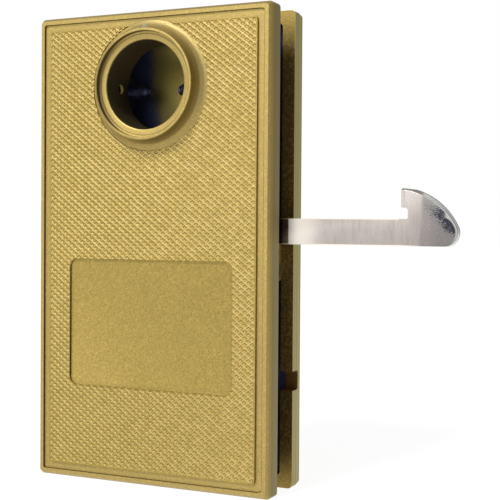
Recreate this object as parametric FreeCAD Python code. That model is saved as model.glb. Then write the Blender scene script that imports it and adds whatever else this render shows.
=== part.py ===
# Sliding gate lockset: two cast covers either side of a lock case with a swinging hook bolt
# Millimetres. Origin: centre of the cylinder bore on its annular seat.
# X to the right as seen from the front, Y into the lock, Z up.
import FreeCAD
import Part
import math
import os

# Covers
plate_width = 88.9
plate_height = 158.75
front_corner = 1.5
rear_corner = 1.6
bore_below_top = 25.0
seat_height = 3.15
front_depth = 6.9
rear_depth = 7.6
rim_wall = 4.45
rim_end_wall = 4.05
cavity_corner = 1.4
front_skin = 2.5
rear_skin = 2.8
bevel_in = 1.05
bevel_deep = 1.9
rear_bevel_in = 0.8
rear_bevel_deep = 0.9
rear_step_depth = 4.55
rear_step_in = 0.25
frame_width = 2.35
frame_step = 0.7
frame_corner = 0.8
band_width = 2.55
panel_raise = 0.5
panel_corner = 1.0
label_width = 62.2
label_height = 43.2
label_corner = 2.0
label_below_mid = 25.3

# Cylinder bore and collar
bore_radius = 14.75
tube_wall = 2.55
tube_past_rim = 3.7
seat_width = 2.7
land_width = 0.65
land_slope = 0.25
land_lift = 0.3
rim_proud = 1.8
rim_width = 1.0
rim_round = 0.2
flare_width = 3.35
flare_lift = 0.45
side_hole_radius = 1.6
side_hole_from_face = 6.0

# Lock case
cover_gap = 12.0
case_side_inset = 7.45
case_end_inset = 5.3
case_corner = 3.0
case_wall = 2.2
case_floor = 2.2
lid_thickness = 1.5
floor_window_radius = 24.0

# Cover screws, seen from the back
cover_screw_from_side = 14.45
cover_screw_from_end = 12.9
cover_screw_radius = 2.5
cover_screw_head = 4.6
cover_screw_sink = 2.1
cover_screw_bite = 4.8
cover_socket_flats = 3.0
cover_socket_depth = 1.8
post_radius = 5.2
boss_radius = 4.4
boss_past_lid = 5.95
boss_end_gap = 0.2
boss_side_gap = 0.3

# Lid screws
lid_screw_from_side = 5.6
lid_screw_high = 30.0
lid_screw_low = -30.0
lid_screw_radius = 1.5
lid_screw_head = 2.8
lid_screw_sink = 1.3
lid_screw_length = 9.0
lid_slot_width = 0.7
lid_slot_depth = 0.7
lid_post_radius = 3.5

# Set screws that clamp the cylinder
set_screw_radius = 2.5
set_screw_length = 20.0
set_screw_past_tube = 5.9
set_boss_radius = 5.8
set_boss_past_tube = 0.2
left_tip_from_axis = 8.5
right_tip_from_axis = 2.7
set_point_radius = 1.7
set_point_length = 1.0
set_socket_flats = 2.5
set_socket_depth = 2.6

# Hook bolt
hook_above_mid = 6.3
hook_thickness = 3.2
hook_past_tube = 0.4
pivot_from_edge = 22.45
shank_height = 8.4
hook_swing = 15.0
notch_from_pivot = 64.05
prong_overhang = 2.15
prong_underside = 7.7
prong_top = 13.8
prong_crown = 4.2
prong_crown_drop = 0.5
nose_shoulder_x = 74.2
nose_shoulder_z = 8.8
nose_brow_x = 79.2
nose_brow_z = 2.3
nose_tip_x = 79.55
nose_tip_z = -1.4
nose_heel_x = 76.6
notch_round = 0.9
prong_round = 0.5
nose_bevel = 0.9
nose_grind_start = 67.7
nose_grind_depth = 0.7
eye_radius = 9.0
tail_height = 11.0
tail_end_wall = 2.6

# Hook pivot
pivot_radius = 4.0
bushing_wall = 2.0
bushing_proud = 0.3
washer_thickness = 0.6
washer_radius = 8.0
pivot_boss_radius = 6.5
pin_inset = 0.25

# Cam lever and its pins
lever_pivot_from_wall = 7.8
lever_arm = 21.0
lever_reach_x = 22.0
lever_reach_z = 31.7
lever_thickness = 2.2
lever_eye_radius = 6.5
lever_drive_radius = 5.0
lever_tip_radius = 3.4
lever_waist = 4.4
lever_pin_radius = 3.0
lever_bushing_wall = 1.5
lever_bushing_proud = 0.1
lever_washer_thickness = 0.6
clip_thickness = 0.6
clip_groove_depth = 0.7
clip_width = 2.9
clip_mouth = 3.6
pin_past_clip = 0.6
drive_pin_radius = 2.0
drive_head_radius = 3.0
drive_head_thickness = 0.6
roller_wall = 0.65
roller_slack = 0.45
lever_ratio_share = 0.71

# Stops and return spring
stop_pin_radius = 2.5
rest_stop_from_pivot = 18.0
travel_stop_from_pivot = 23.5
stop_pin_past_hook = 0.9
spring_from_pivot = 15.0
spring_radius = 3.0
spring_wire = 0.9
spring_turns = 7
spring_length = 15.4
shelf_width = 12.0
shelf_thickness = 4.0
spring_pin_radius = 1.8
spring_pin_length = 7.0

# Hook guide, the lip behind the hook at the gate side
guide_thickness = 2.9
guide_below_hook = 16.4
guide_above_hook = 4.0
guide_deep = 6.3
guide_round = 1.6
guide_screw_radius = 1.25
guide_screw_head = 2.2
guide_screw_sink = 1.0
guide_screw_length = 6.0
guide_screw_from_end = 3.6
guide_slot_width = 0.6
guide_slot_depth = 0.6

# Stud hole towards the gate frame
stud_below_mid = 43.5
stud_radius = 3.15
stud_depth = 15.0
stud_boss_length = 18.0
stud_boss_half = 5.6
stud_past_rim = 0.55
notch_depth = 4.3
notch_corner = 1.5

# Fits
pin_fit = 0.05
press_fit = 0.02
face_gap = 0.05
swing_gap = 0.3
slot_gap = 0.85

# How far a cutting shape runs past what it cuts, and how close counts as the same place
past = 1.0
near = 0.05

# Planes along Y worked out from the sizes above
face_y = seat_height
base_y = face_y + frame_step
panel_y = base_y - panel_raise
front_inner_y = base_y + front_skin
front_rim_y = face_y + front_depth
tube_end_y = front_rim_y + tube_past_rim
rear_rim_y = front_rim_y + cover_gap
back_y = rear_rim_y + rear_depth
rear_inner_y = back_y - rear_skin
lid_back_y = front_inner_y + lid_thickness
floor_y = rear_inner_y - case_floor
hook_front_y = tube_end_y + hook_past_tube
hook_rear_y = hook_front_y + hook_thickness
set_axis_y = tube_end_y + set_screw_past_tube
washer_y = floor_y - face_gap - lever_washer_thickness
lever_rear_y = washer_y - face_gap - lever_bushing_proud
lever_front_y = lever_rear_y - lever_thickness
boss_end_y = lid_back_y + boss_past_lid
screw_head_y = back_y - frame_step + panel_raise

# Places across X and Z worked out from the sizes above
half_width = plate_width / 2
top_z = bore_below_top
mid_z = top_z - plate_height / 2
bottom_z = mid_z - plate_height / 2
case_half = half_width - case_side_inset
case_height = plate_height - 2 * case_end_inset
tube_radius = bore_radius + tube_wall
pivot_x = half_width - pivot_from_edge
pivot_z = mid_z + hook_above_mid
drive_x = -case_half + case_wall + lever_pivot_from_wall + lever_arm
drive_from_pivot = pivot_x - drive_x
lever_x = drive_x - lever_arm
lever_z = pivot_z
tip_x = lever_x + lever_reach_x
tip_z = lever_z + lever_reach_z
spring_x = pivot_x - spring_from_pivot
shelf_z = pivot_z + tail_height / 2 + swing_gap + spring_length + swing_gap
screw_high_z = top_z - cover_screw_from_end
screw_low_z = bottom_z + cover_screw_from_end
cover_screw_x = half_width - cover_screw_from_side
lid_screw_x = case_half - lid_screw_from_side
lid_screw_rows = (mid_z + lid_screw_high, mid_z + lid_screw_low)
cover_screw_places = [(side * cover_screw_x, z) for side in (-1, 1) for z in (screw_high_z, screw_low_z)]
lid_screw_places = [(side * lid_screw_x, z) for side in (-1, 1) for z in lid_screw_rows]
stud_z = mid_z - stud_below_mid
stud_y = rear_rim_y + stud_past_rim


def vec(x, y, z):
    return FreeCAD.Vector(x, y, z)


def box(x0, x1, y0, y1, z0, z1):
    return Part.makeBox(x1 - x0, y1 - y0, z1 - z0, vec(x0, y0, z0))


def rod_y(x, z, radius, y0, y1):
    """Cylinder along Y."""
    return Part.makeCylinder(radius, y1 - y0, vec(x, y0, z), vec(0, 1, 0))


def rod_x(y, z, radius, x0, x1):
    """Cylinder along X."""
    return Part.makeCylinder(radius, x1 - x0, vec(x0, y, z), vec(1, 0, 0))


def rod_z(x, y, radius, z0, z1):
    """Cylinder along Z."""
    return Part.makeCylinder(radius, z1 - z0, vec(x, y, z0), vec(0, 0, 1))


def ring_y(x, z, inner, outer, y0, y1):
    """Tube along Y."""
    return rod_y(x, z, outer, y0, y1).cut(rod_y(x, z, inner, y0 - past, y1 + past))


def cone_y(x, z, radius0, radius1, y0, y1):
    """Cone along Y, radius0 at y0."""
    return Part.makeCone(radius0, radius1, y1 - y0, vec(x, y0, z), vec(0, 1, 0))


def cone_x(y, z, radius0, radius1, x0, x1):
    """Cone along X, radius0 at x0."""
    return Part.makeCone(radius0, radius1, x1 - x0, vec(x0, y, z), vec(1, 0, 0))


def rounded_wire(width, height, radius, y, z_mid):
    """Rounded rectangle in the plane at y, centred on x = 0 and z_mid."""
    x = width / 2
    z = height / 2
    slant = radius * (1 - math.sqrt(0.5))
    edges = []
    corners = [(1, 1), (-1, 1), (-1, -1), (1, -1)]
    for index, (sx, sz) in enumerate(corners):
        side_point = vec(sx * x, y, z_mid + sz * (z - radius))
        end_point = vec(sx * (x - radius), y, z_mid + sz * z)
        middle = vec(sx * (x - slant), y, z_mid + sz * (z - slant))
        first, last = (side_point, end_point) if sx * sz > 0 else (end_point, side_point)
        edges.append(Part.Arc(first, middle, last).toShape())
        next_sx, next_sz = corners[(index + 1) % 4]
        if sx * sz > 0:
            following = vec(next_sx * (x - radius), y, z_mid + next_sz * z)
        else:
            following = vec(next_sx * x, y, z_mid + next_sz * (z - radius))
        edges.append(Part.LineSegment(last, following).toShape())
    return Part.Wire(edges)


def slab(width, height, radius, y0, y1, z_mid=mid_z):
    """Rounded plate between two planes along Y."""
    face = Part.Face(rounded_wire(width, height, radius, y0, z_mid))
    return face.extrude(vec(0, y1 - y0, 0))


def fuse_all(first, others):
    shape = first
    for other in others:
        shape = shape.fuse(other)
    return shape.removeSplitter()


def cut_all(shape, tools):
    for tool in tools:
        shape = shape.cut(tool)
    return shape


def hex_corners(flats):
    """Closed run of a hexagon's corners about its centre."""
    corner = flats / math.sqrt(3)
    angles = [k * math.pi / 3 for k in range(7)]
    return [(corner * math.cos(angle), corner * math.sin(angle)) for angle in angles]


def hex_prism_y(x, z, flats, y0, y1):
    """Hexagonal prism along Y."""
    points = [vec(x + a, y0, z + b) for a, b in hex_corners(flats)]
    return Part.Face(Part.makePolygon(points)).extrude(vec(0, y1 - y0, 0))


def hex_prism_x(y, z, flats, x0, x1):
    """Hexagonal prism along X."""
    points = [vec(x0, y + a, z + b) for a, b in hex_corners(flats)]
    return Part.Face(Part.makePolygon(points)).extrude(vec(x1 - x0, 0, 0))


def bevelled_edge(y_full, y_end, inset, width, height, corner):
    """Bevel from the full outline at y_full to a smaller outline at y_end."""
    outer = rounded_wire(width, height, corner, y_full, mid_z)
    inner = rounded_wire(width - 2 * inset, height - 2 * inset, corner - inset / 2, y_end, mid_z)
    return Part.makeLoft([outer, inner], True, True)


def relief_cut(y_frame, y_base, y_panel, outward):
    """What is cut from a cover's face to leave its frame, band and raised panel."""
    inner_width = plate_width - 2 * frame_width
    inner_height = plate_height - 2 * frame_width
    panel_width = inner_width - 2 * band_width
    panel_height = inner_height - 2 * band_width
    pocket = slab(inner_width, inner_height, frame_corner, y_frame + outward, y_base)
    panel = slab(panel_width, panel_height, panel_corner, y_panel, y_base)
    label_z = mid_z - label_below_mid
    label = slab(label_width, label_height, label_corner, y_panel + outward, y_base, label_z)
    return pocket.cut(panel.cut(label))


def collar_profile():
    """Half section of the collar and bore tube, turned about the bore's axis. From the bore out: flat
    seat, low land, proud rim and hollow flare."""
    seat_edge = bore_radius + seat_width
    land_start = seat_edge - land_width
    rim_edge = seat_edge + rim_width
    flare_edge = rim_edge + flare_width
    flare_start_y = -rim_proud + rim_round
    flare_end_y = face_y + flare_lift
    middle_r = flare_edge - flare_width * math.sqrt(0.5)
    middle_y = flare_start_y + (flare_end_y - flare_start_y) * math.sqrt(0.5)
    flare_start = vec(rim_edge, flare_start_y, 0)
    flare_end = vec(flare_edge, flare_end_y, 0)
    outline = [
        Part.LineSegment(vec(bore_radius, 0, 0), vec(land_start - land_slope, 0, 0)),
        Part.LineSegment(vec(land_start - land_slope, 0, 0), vec(land_start, -land_lift, 0)),
        Part.LineSegment(vec(land_start, -land_lift, 0), vec(seat_edge, -land_lift, 0)),
        Part.LineSegment(vec(seat_edge, -land_lift, 0), vec(seat_edge, -rim_proud, 0)),
        Part.LineSegment(vec(seat_edge, -rim_proud, 0), vec(rim_edge - rim_round, -rim_proud, 0)),
        Part.LineSegment(vec(rim_edge - rim_round, -rim_proud, 0), flare_start),
        Part.Arc(flare_start, vec(middle_r, middle_y, 0), flare_end),
        Part.LineSegment(flare_end, vec(flare_edge, front_inner_y, 0)),
        Part.LineSegment(vec(flare_edge, front_inner_y, 0), vec(tube_radius, front_inner_y, 0)),
        Part.LineSegment(vec(tube_radius, front_inner_y, 0), vec(tube_radius, tube_end_y, 0)),
        Part.LineSegment(vec(tube_radius, tube_end_y, 0), vec(bore_radius, tube_end_y, 0)),
        Part.LineSegment(vec(bore_radius, tube_end_y, 0), vec(bore_radius, 0, 0)),
    ]
    return Part.Face(Part.Wire([piece.toShape() for piece in outline]))


def front_cover():
    """Cast cover with the frame, raised panel, label recess, collar and bore tube."""
    inner_width = plate_width - 2 * rim_wall
    inner_height = plate_height - 2 * rim_end_wall
    bevel_y = face_y + bevel_deep
    shell = slab(plate_width, plate_height, front_corner, bevel_y, front_rim_y)
    shell = shell.fuse(bevelled_edge(bevel_y, face_y, bevel_in, plate_width, plate_height, front_corner))
    shell = shell.cut(relief_cut(face_y, base_y, panel_y, -past))
    shell = shell.cut(slab(inner_width, inner_height, cavity_corner, front_inner_y, front_rim_y + past))
    shell = shell.cut(rod_y(0, 0, tube_radius, face_y - past, front_rim_y))
    collar = collar_profile().revolve(vec(0, 0, 0), vec(0, 1, 0), 360)
    bosses = [rod_y(x, z, boss_radius, front_inner_y, boss_end_y) for x, z in cover_screw_places]
    body = fuse_all(shell, [collar] + bosses)
    thread_end_y = boss_end_y - cover_screw_bite - past
    tools = [rod_y(x, z, cover_screw_radius + pin_fit, thread_end_y, boss_end_y + past)
             for x, z in cover_screw_places]
    side_hole_y = face_y + side_hole_from_face
    tools.append(rod_x(side_hole_y, 0, side_hole_radius, -tube_radius - past, past - bore_radius))
    return cut_all(body, tools)


def rear_cover():
    """Cast cover without a bore, with countersunk screw holes and the stud notch in its gate side rim."""
    inner_width = plate_width - 2 * rim_wall
    inner_height = plate_height - 2 * rim_end_wall
    body_width = plate_width - 2 * rear_step_in
    body_height = plate_height - 2 * rear_step_in
    step_y = rear_rim_y + rear_step_depth
    bevel_y = back_y - rear_bevel_deep
    shell = slab(plate_width, plate_height, rear_corner, rear_rim_y, step_y)
    shell = shell.fuse(slab(body_width, body_height, rear_corner, step_y, bevel_y))
    shell = shell.fuse(bevelled_edge(bevel_y, back_y, rear_bevel_in, body_width, body_height, rear_corner))
    base = back_y - frame_step
    shell = shell.cut(relief_cut(back_y, base, base + panel_raise, past))
    shell = shell.cut(slab(inner_width, inner_height, cavity_corner, rear_rim_y - past, rear_inner_y))
    shell = shell.removeSplitter()
    tools = []
    for x, z in cover_screw_places:
        tools.append(rod_y(x, z, cover_screw_radius + swing_gap, rear_inner_y - past, back_y + past))
        tools.append(screw_sink(x, z))
    tools.append(stud_notch())
    return cut_all(shell, tools)


def screw_sink(x, z):
    """Countersink and the clear space outside it for one cover screw head."""
    small = cover_screw_radius + press_fit
    large = cover_screw_head + press_fit
    sink = cone_y(x, z, small, large, screw_head_y - cover_screw_sink, screw_head_y)
    return sink.fuse(rod_y(x, z, large, screw_head_y, back_y + past))


def stud_notch():
    """U-shaped notch through the rear cover's rim where the stud passes."""
    z0 = stud_z - stud_radius
    z1 = stud_z + stud_radius
    inner_x = half_width - rim_wall
    notch = box(inner_x - past, half_width + past, rear_rim_y - past, rear_rim_y + notch_depth, z0, z1)
    corners = [edge for edge in notch.Edges
               if edge.BoundBox.XLength > rim_wall and edge.BoundBox.YMax > rear_rim_y]
    return notch.makeFillet(notch_corner, corners)


def lock_case():
    """Cast tray between the covers that carries the bolt work and spaces the covers apart."""
    inside_width = 2 * (case_half - case_wall)
    inside_height = case_height - 2 * case_wall
    inner_corner = case_corner - case_wall / 2
    outer = slab(2 * case_half, case_height, case_corner, lid_back_y, rear_inner_y)
    tray = outer.cut(slab(inside_width, inside_height, inner_corner, lid_back_y - past, floor_y))
    tray = tray.cut(floor_window(inside_width / 2))
    inner_x = case_half - case_wall / 2
    root_y = floor_y + case_floor / 2
    set_end = tube_radius + set_boss_past_tube
    solids = [rod_y(x, z, post_radius, boss_end_y + boss_end_gap, root_y) for x, z in cover_screw_places]
    solids += [rod_y(x, z, lid_post_radius, lid_back_y, root_y) for x, z in lid_screw_places]
    solids.append(rod_x(set_axis_y, 0, set_boss_radius, -inner_x, -set_end))
    solids.append(rod_x(set_axis_y, 0, set_boss_radius, set_end, inner_x))
    rear_washer_y = hook_rear_y + bushing_proud + face_gap
    boss_y = rear_washer_y + washer_thickness + face_gap
    solids.append(rod_y(pivot_x, pivot_z, pivot_boss_radius, boss_y, root_y))
    shelf_x = spring_x - shelf_width / 2
    solids.append(box(shelf_x, shelf_x + shelf_width, hook_front_y - spring_radius, root_y,
                      shelf_z, shelf_z + shelf_thickness))
    stud_x = case_half - stud_boss_length
    solids.append(box(stud_x, inner_x, stud_y - stud_radius - case_wall / 2, root_y,
                      stud_z - stud_boss_half, stud_z + stud_boss_half))
    body = fuse_all(tray, solids)
    return cut_all(body, case_holes())


def floor_window(wall_x):
    """Round window in the floor behind the bore, which stops at the walls and at the spring's shelf."""
    window = rod_y(0, 0, floor_window_radius, floor_y - past, rear_inner_y + past)
    roof_z = mid_z + case_height / 2 - case_wall
    return window.common(box(-wall_x, wall_x, floor_y - past, rear_inner_y + past,
                             shelf_z + shelf_thickness, roof_z))


def case_holes():
    """Every hole and slot in the lock case."""
    tools = []
    out_y = rear_inner_y + past
    out_x = case_half + past
    lid_thread_end = front_inner_y + lid_screw_length + past
    for x, z in cover_screw_places:
        tools.append(rod_y(x, z, cover_screw_radius + swing_gap, boss_end_y, out_y))
    for x, z in lid_screw_places:
        tools.append(rod_y(x, z, lid_screw_radius + pin_fit, lid_back_y - past, lid_thread_end))
    tools.append(rod_x(set_axis_y, 0, set_screw_radius + pin_fit, -out_x, past - tube_radius))
    tools.append(rod_x(set_axis_y, 0, set_screw_radius + pin_fit, tube_radius - past, out_x))
    tools.append(rod_y(pivot_x, pivot_z, pivot_radius + press_fit, hook_rear_y, out_y))
    tools.append(rod_y(lever_x, lever_z, lever_pin_radius + press_fit, floor_y - past, out_y))
    tools.append(rod_z(spring_x, hook_mid_y(), spring_pin_radius + press_fit,
                       shelf_z - past, shelf_z + shelf_thickness + past))
    tools.append(hook_slot())
    tools.append(rod_x(stud_y, stud_z, stud_radius, case_half - stud_depth, out_x))
    for z in guide_screw_heights():
        wall_x = case_half - case_wall - past
        tools.append(rod_x(guide_mid_y(), z, guide_screw_radius + pin_fit, wall_x, out_x))
    return tools


def hook_mid_y():
    return (hook_front_y + hook_rear_y) / 2


def hook_slot():
    """Opening in the gate side wall, tall enough for the shank over its whole swing."""
    swing = math.radians(hook_swing)
    wall_x = case_half - pivot_x
    low = -wall_x * math.tan(swing) - shank_height / 2 / math.cos(swing) - slot_gap
    high = shank_height / 2 + slot_gap
    return box(case_half - case_wall - past, case_half + past,
               hook_front_y - slot_gap, hook_rear_y + slot_gap, pivot_z + low, pivot_z + high)


def case_lid():
    """Steel plate that closes the front of the lock case."""
    plate = slab(2 * case_half, case_height, case_corner, front_inner_y, lid_back_y)
    y0 = front_inner_y - past
    y1 = lid_back_y + past
    tools = [rod_y(0, 0, tube_radius + slot_gap, y0, y1)]
    tools.append(rod_y(pivot_x, pivot_z, pivot_radius + press_fit, y0, y1))
    for x, z in (rest_stop_place(), travel_stop_place()):
        tools.append(rod_y(x, z, stop_pin_radius + press_fit, y0, y1))
    for x, z in cover_screw_places:
        tools.append(rod_y(x, z, boss_radius + boss_side_gap, y0, y1))
    for x, z in lid_screw_places:
        tools.append(rod_y(x, z, lid_screw_radius + swing_gap, y0, y1))
        tools.append(cone_y(x, z, lid_screw_head + press_fit, lid_screw_radius + press_fit,
                            front_inner_y, front_inner_y + lid_screw_sink))
    return cut_all(plate, tools)


def flat_head_screw_y(x, z, radius, head, sink, y_head, y_tip):
    """Countersunk screw along Y with its head's flat at y_head."""
    if y_tip > y_head:
        neck_y = y_head + sink
        screw = cone_y(x, z, head, radius, y_head, neck_y).fuse(rod_y(x, z, radius, neck_y, y_tip))
    else:
        neck_y = y_head - sink
        screw = cone_y(x, z, radius, head, neck_y, y_head).fuse(rod_y(x, z, radius, y_tip, neck_y))
    return screw.removeSplitter()


def cover_screws():
    """Four countersunk socket screws put in from the back."""
    tip_y = boss_end_y - cover_screw_bite
    socket_y = screw_head_y - cover_socket_depth
    screws = []
    for x, z in cover_screw_places:
        screw = flat_head_screw_y(x, z, cover_screw_radius, cover_screw_head, cover_screw_sink,
                                  screw_head_y, tip_y)
        socket = hex_prism_y(x, z, cover_socket_flats, socket_y, screw_head_y + past)
        screws.append(screw.cut(socket))
    return Part.makeCompound(screws)


def lid_screws():
    """Four small countersunk slotted screws that hold the lid."""
    screws = []
    for x, z in lid_screw_places:
        screw = flat_head_screw_y(x, z, lid_screw_radius, lid_screw_head, lid_screw_sink,
                                  front_inner_y, front_inner_y + lid_screw_length)
        slot = box(x - lid_screw_head, x + lid_screw_head,
                   front_inner_y - past, front_inner_y + lid_slot_depth,
                   z - lid_slot_width / 2, z + lid_slot_width / 2)
        screws.append(screw.cut(slot))
    return Part.makeCompound(screws)


def set_screw(side, tip_from_axis):
    """Socket set screw along X whose pointed end faces the cylinder."""
    neck_x = tip_from_axis + set_point_length
    end_x = tip_from_axis + set_screw_length
    shape = cone_x(set_axis_y, 0, set_point_radius, set_screw_radius, tip_from_axis, neck_x)
    shape = shape.fuse(rod_x(set_axis_y, 0, set_screw_radius, neck_x, end_x)).removeSplitter()
    shape = shape.cut(hex_prism_x(set_axis_y, 0, set_socket_flats, end_x - set_socket_depth, end_x + past))
    if side < 0:
        shape = shape.mirror(vec(0, 0, 0), vec(1, 0, 0))
    return shape


def hook_outline():
    """Side outline of the shank, notch, prong and nose, from the pivot out to the tip."""
    def at(u, w):
        return vec(pivot_x + u, hook_front_y, pivot_z + w)
    half = shank_height / 2
    prong_x = notch_from_pivot - prong_overhang
    crown_x = prong_x + prong_crown
    crown_z = prong_top - prong_crown_drop
    corners = [at(0, -half), at(0, half), at(notch_from_pivot, half), at(notch_from_pivot, prong_underside),
               at(prong_x, prong_underside), at(prong_x, prong_top), at(crown_x, crown_z)]
    edges = [Part.LineSegment(first, last).toShape() for first, last in zip(corners, corners[1:])]
    edges.append(Part.Arc(at(crown_x, crown_z), at(nose_shoulder_x, nose_shoulder_z),
                          at(nose_brow_x, nose_brow_z)).toShape())
    edges.append(Part.Arc(at(nose_brow_x, nose_brow_z), at(nose_tip_x, nose_tip_z),
                          at(nose_heel_x, -half)).toShape())
    edges.append(Part.LineSegment(at(nose_heel_x, -half), at(0, -half)).toShape())
    return Part.Face(Part.Wire(edges))


def edges_along_y(shape, x, z):
    """Edges that run along Y through the place x, z."""
    found = []
    for edge in shape.Edges:
        bounds = edge.BoundBox
        across = math.hypot(bounds.Center.x - x, bounds.Center.z - z)
        if across < near and bounds.XLength < near and bounds.ZLength < near:
            found.append(edge)
    return found


def hook_bolt():
    """Flat hook: eye, tail with the drive slot, shank, notch, prong and ground nose."""
    blade = hook_outline().extrude(vec(0, hook_thickness, 0))
    half = shank_height / 2
    prong_x = pivot_x + notch_from_pivot - prong_overhang
    notch_corner_edges = edges_along_y(blade, pivot_x + notch_from_pivot, pivot_z + prong_underside)
    blade = blade.makeFillet(notch_round, notch_corner_edges)
    small_corners = edges_along_y(blade, prong_x, pivot_z + prong_underside)
    small_corners += edges_along_y(blade, prong_x, pivot_z + prong_top)
    small_corners += edges_along_y(blade, pivot_x + notch_from_pivot, pivot_z + half)
    blade = blade.makeFillet(prong_round, small_corners)
    blade = blade.makeChamfer(nose_bevel, nose_front_edges(blade))
    blade = blade.cut(nose_grind())
    eye = rod_y(pivot_x, pivot_z, eye_radius, hook_front_y, hook_rear_y)
    tail_end = drive_from_pivot + slot_run() + roller_slot_radius() + tail_end_wall
    tail = box(pivot_x - tail_end, pivot_x, hook_front_y, hook_rear_y,
               pivot_z - tail_height / 2, pivot_z + tail_height / 2)
    ends = edges_along_y(tail, pivot_x - tail_end, pivot_z - tail_height / 2)
    ends += edges_along_y(tail, pivot_x - tail_end, pivot_z + tail_height / 2)
    tail = tail.makeFillet(tail_end_wall, ends)
    body = fuse_all(blade, [eye, tail])
    eye_hole = pivot_radius + bushing_wall + press_fit
    eye_cut = rod_y(pivot_x, pivot_z, eye_hole, hook_front_y - past, hook_rear_y + past)
    return cut_all(body, [eye_cut, drive_slot()])


def nose_front_edges(blade):
    """Front edges of the two nose arcs."""
    found = []
    for edge in blade.Edges:
        bounds = edge.BoundBox
        on_front = bounds.YMax < hook_front_y + near
        on_nose = bounds.XMin > pivot_x + notch_from_pivot
        if on_front and on_nose and edge.Curve.TypeId == "Part::GeomCircle":
            found.append(edge)
    return found


def nose_grind():
    """Thin wedge ground off the front of the nose, deepest at the tip."""
    start = pivot_x + nose_grind_start
    stop = pivot_x + nose_tip_x + past
    low = pivot_z - shank_height
    clear_y = hook_front_y - past
    points = [vec(start, hook_front_y, low), vec(stop, hook_front_y + nose_grind_depth, low),
              vec(stop, clear_y, low), vec(start, clear_y, low), vec(start, hook_front_y, low)]
    return Part.Face(Part.makePolygon(points)).extrude(vec(0, 0, 2 * prong_top + shank_height))


def roller_slot_radius():
    return drive_pin_radius + pin_fit + roller_wall + roller_slack


def lever_swing():
    """Lever angle at the hook's full swing, between what the first and the last degree call for."""
    first = drive_from_pivot / lever_arm * hook_swing
    hook = math.radians(hook_swing)
    last = math.degrees(math.asin((lever_arm + drive_from_pivot) * math.sin(hook) / lever_arm)) - hook_swing
    return first + lever_ratio_share * (last - first)


def slot_run():
    """How far the drive pin moves along the tail from rest to full swing."""
    hook = math.radians(hook_swing)
    lever = math.radians(lever_swing())
    across = lever_x + lever_arm * math.cos(lever) - pivot_x
    up = lever_arm * math.sin(lever)
    along = -across * math.cos(hook) + up * math.sin(hook)
    return along - drive_from_pivot


def drive_slot():
    """Slot in the tail for the drive roller."""
    radius = roller_slot_radius()
    far_x = drive_x - slot_run()
    y0 = hook_front_y - past
    y1 = hook_rear_y + past
    ends = [rod_y(x, pivot_z, radius, y0, y1) for x in (drive_x, far_x)]
    return fuse_all(box(far_x, drive_x, y0, y1, pivot_z - radius, pivot_z + radius), ends)


def hook_bushing():
    """Bronze bushing pressed into the hook's eye."""
    inner = pivot_radius + pin_fit
    return ring_y(pivot_x, pivot_z, inner, pivot_radius + bushing_wall,
                  hook_front_y - bushing_proud, hook_rear_y + bushing_proud)


def hook_pivot_pin():
    return rod_y(pivot_x, pivot_z, pivot_radius, front_inner_y + pin_inset, rear_inner_y - pin_inset)


def pivot_washer(y0):
    return ring_y(pivot_x, pivot_z, pivot_radius + pin_fit, washer_radius, y0, y0 + washer_thickness)


def front_washer():
    return pivot_washer(hook_front_y - bushing_proud - face_gap - washer_thickness)


def rear_washer():
    return pivot_washer(hook_rear_y + bushing_proud + face_gap)


def pivot_spacer():
    """Sleeve that keeps the hook back from the lid."""
    end_y = hook_front_y - bushing_proud - 2 * face_gap - washer_thickness
    return ring_y(pivot_x, pivot_z, pivot_radius + pin_fit, pivot_boss_radius, lid_back_y + face_gap, end_y)


def rest_stop_place():
    """Under the tail, which lies on it when the hook is level."""
    return pivot_x - rest_stop_from_pivot, pivot_z - tail_height / 2 - swing_gap - stop_pin_radius


def travel_stop_place():
    """Above the tail where its top edge arrives at full swing."""
    swing = math.radians(hook_swing)
    rise = travel_stop_from_pivot * math.tan(swing)
    clear = (tail_height / 2 + swing_gap + stop_pin_radius) / math.cos(swing)
    return pivot_x - travel_stop_from_pivot, pivot_z + rise + clear


def stop_pin(place):
    """Pin riveted in the lid that reaches just past the hook's tail."""
    x, z = place
    return rod_y(x, z, stop_pin_radius, front_inner_y + pin_inset, hook_rear_y + stop_pin_past_hook)


def arc_middle(start, tangent, end):
    """Middle point of the arc that leaves start along tangent and ends at end."""
    chord = end - start
    unit = FreeCAD.Vector(chord).normalize()
    angle = tangent.getAngle(chord)
    normal = (tangent - unit * tangent.dot(unit)).normalize()
    return (start + end) * 0.5 + normal * (chord.Length / 2 * math.tan(angle / 2))


def coil_edges(x, y, z0, radius, pitch, turns):
    """Helix along Z drawn as two tangent arcs for each quarter turn."""
    def point(angle):
        rise = pitch * angle / (2 * math.pi)
        return vec(x + radius * math.cos(angle), y + radius * math.sin(angle), z0 + rise)

    def direction(angle):
        return vec(-radius * math.sin(angle), radius * math.cos(angle), pitch / (2 * math.pi)).normalize()
    edges = []
    quarter = math.pi / 2
    for step in range(4 * turns):
        start, end = point(step * quarter), point((step + 1) * quarter)
        first, last = direction(step * quarter), direction((step + 1) * quarter)
        chord = end - start
        total = first + last
        blend = 2 * (1 - first.dot(last))
        along = chord.dot(total)
        reach = (-along + math.sqrt(along * along + blend * chord.dot(chord))) / blend
        joint = (start + end + (first - last) * reach) * 0.5
        edges.append(Part.Arc(start, arc_middle(start, first, joint), joint).toShape())
        edges.append(Part.Arc(joint, arc_middle(end, last * -1, joint), end).toShape())
    return edges


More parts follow.
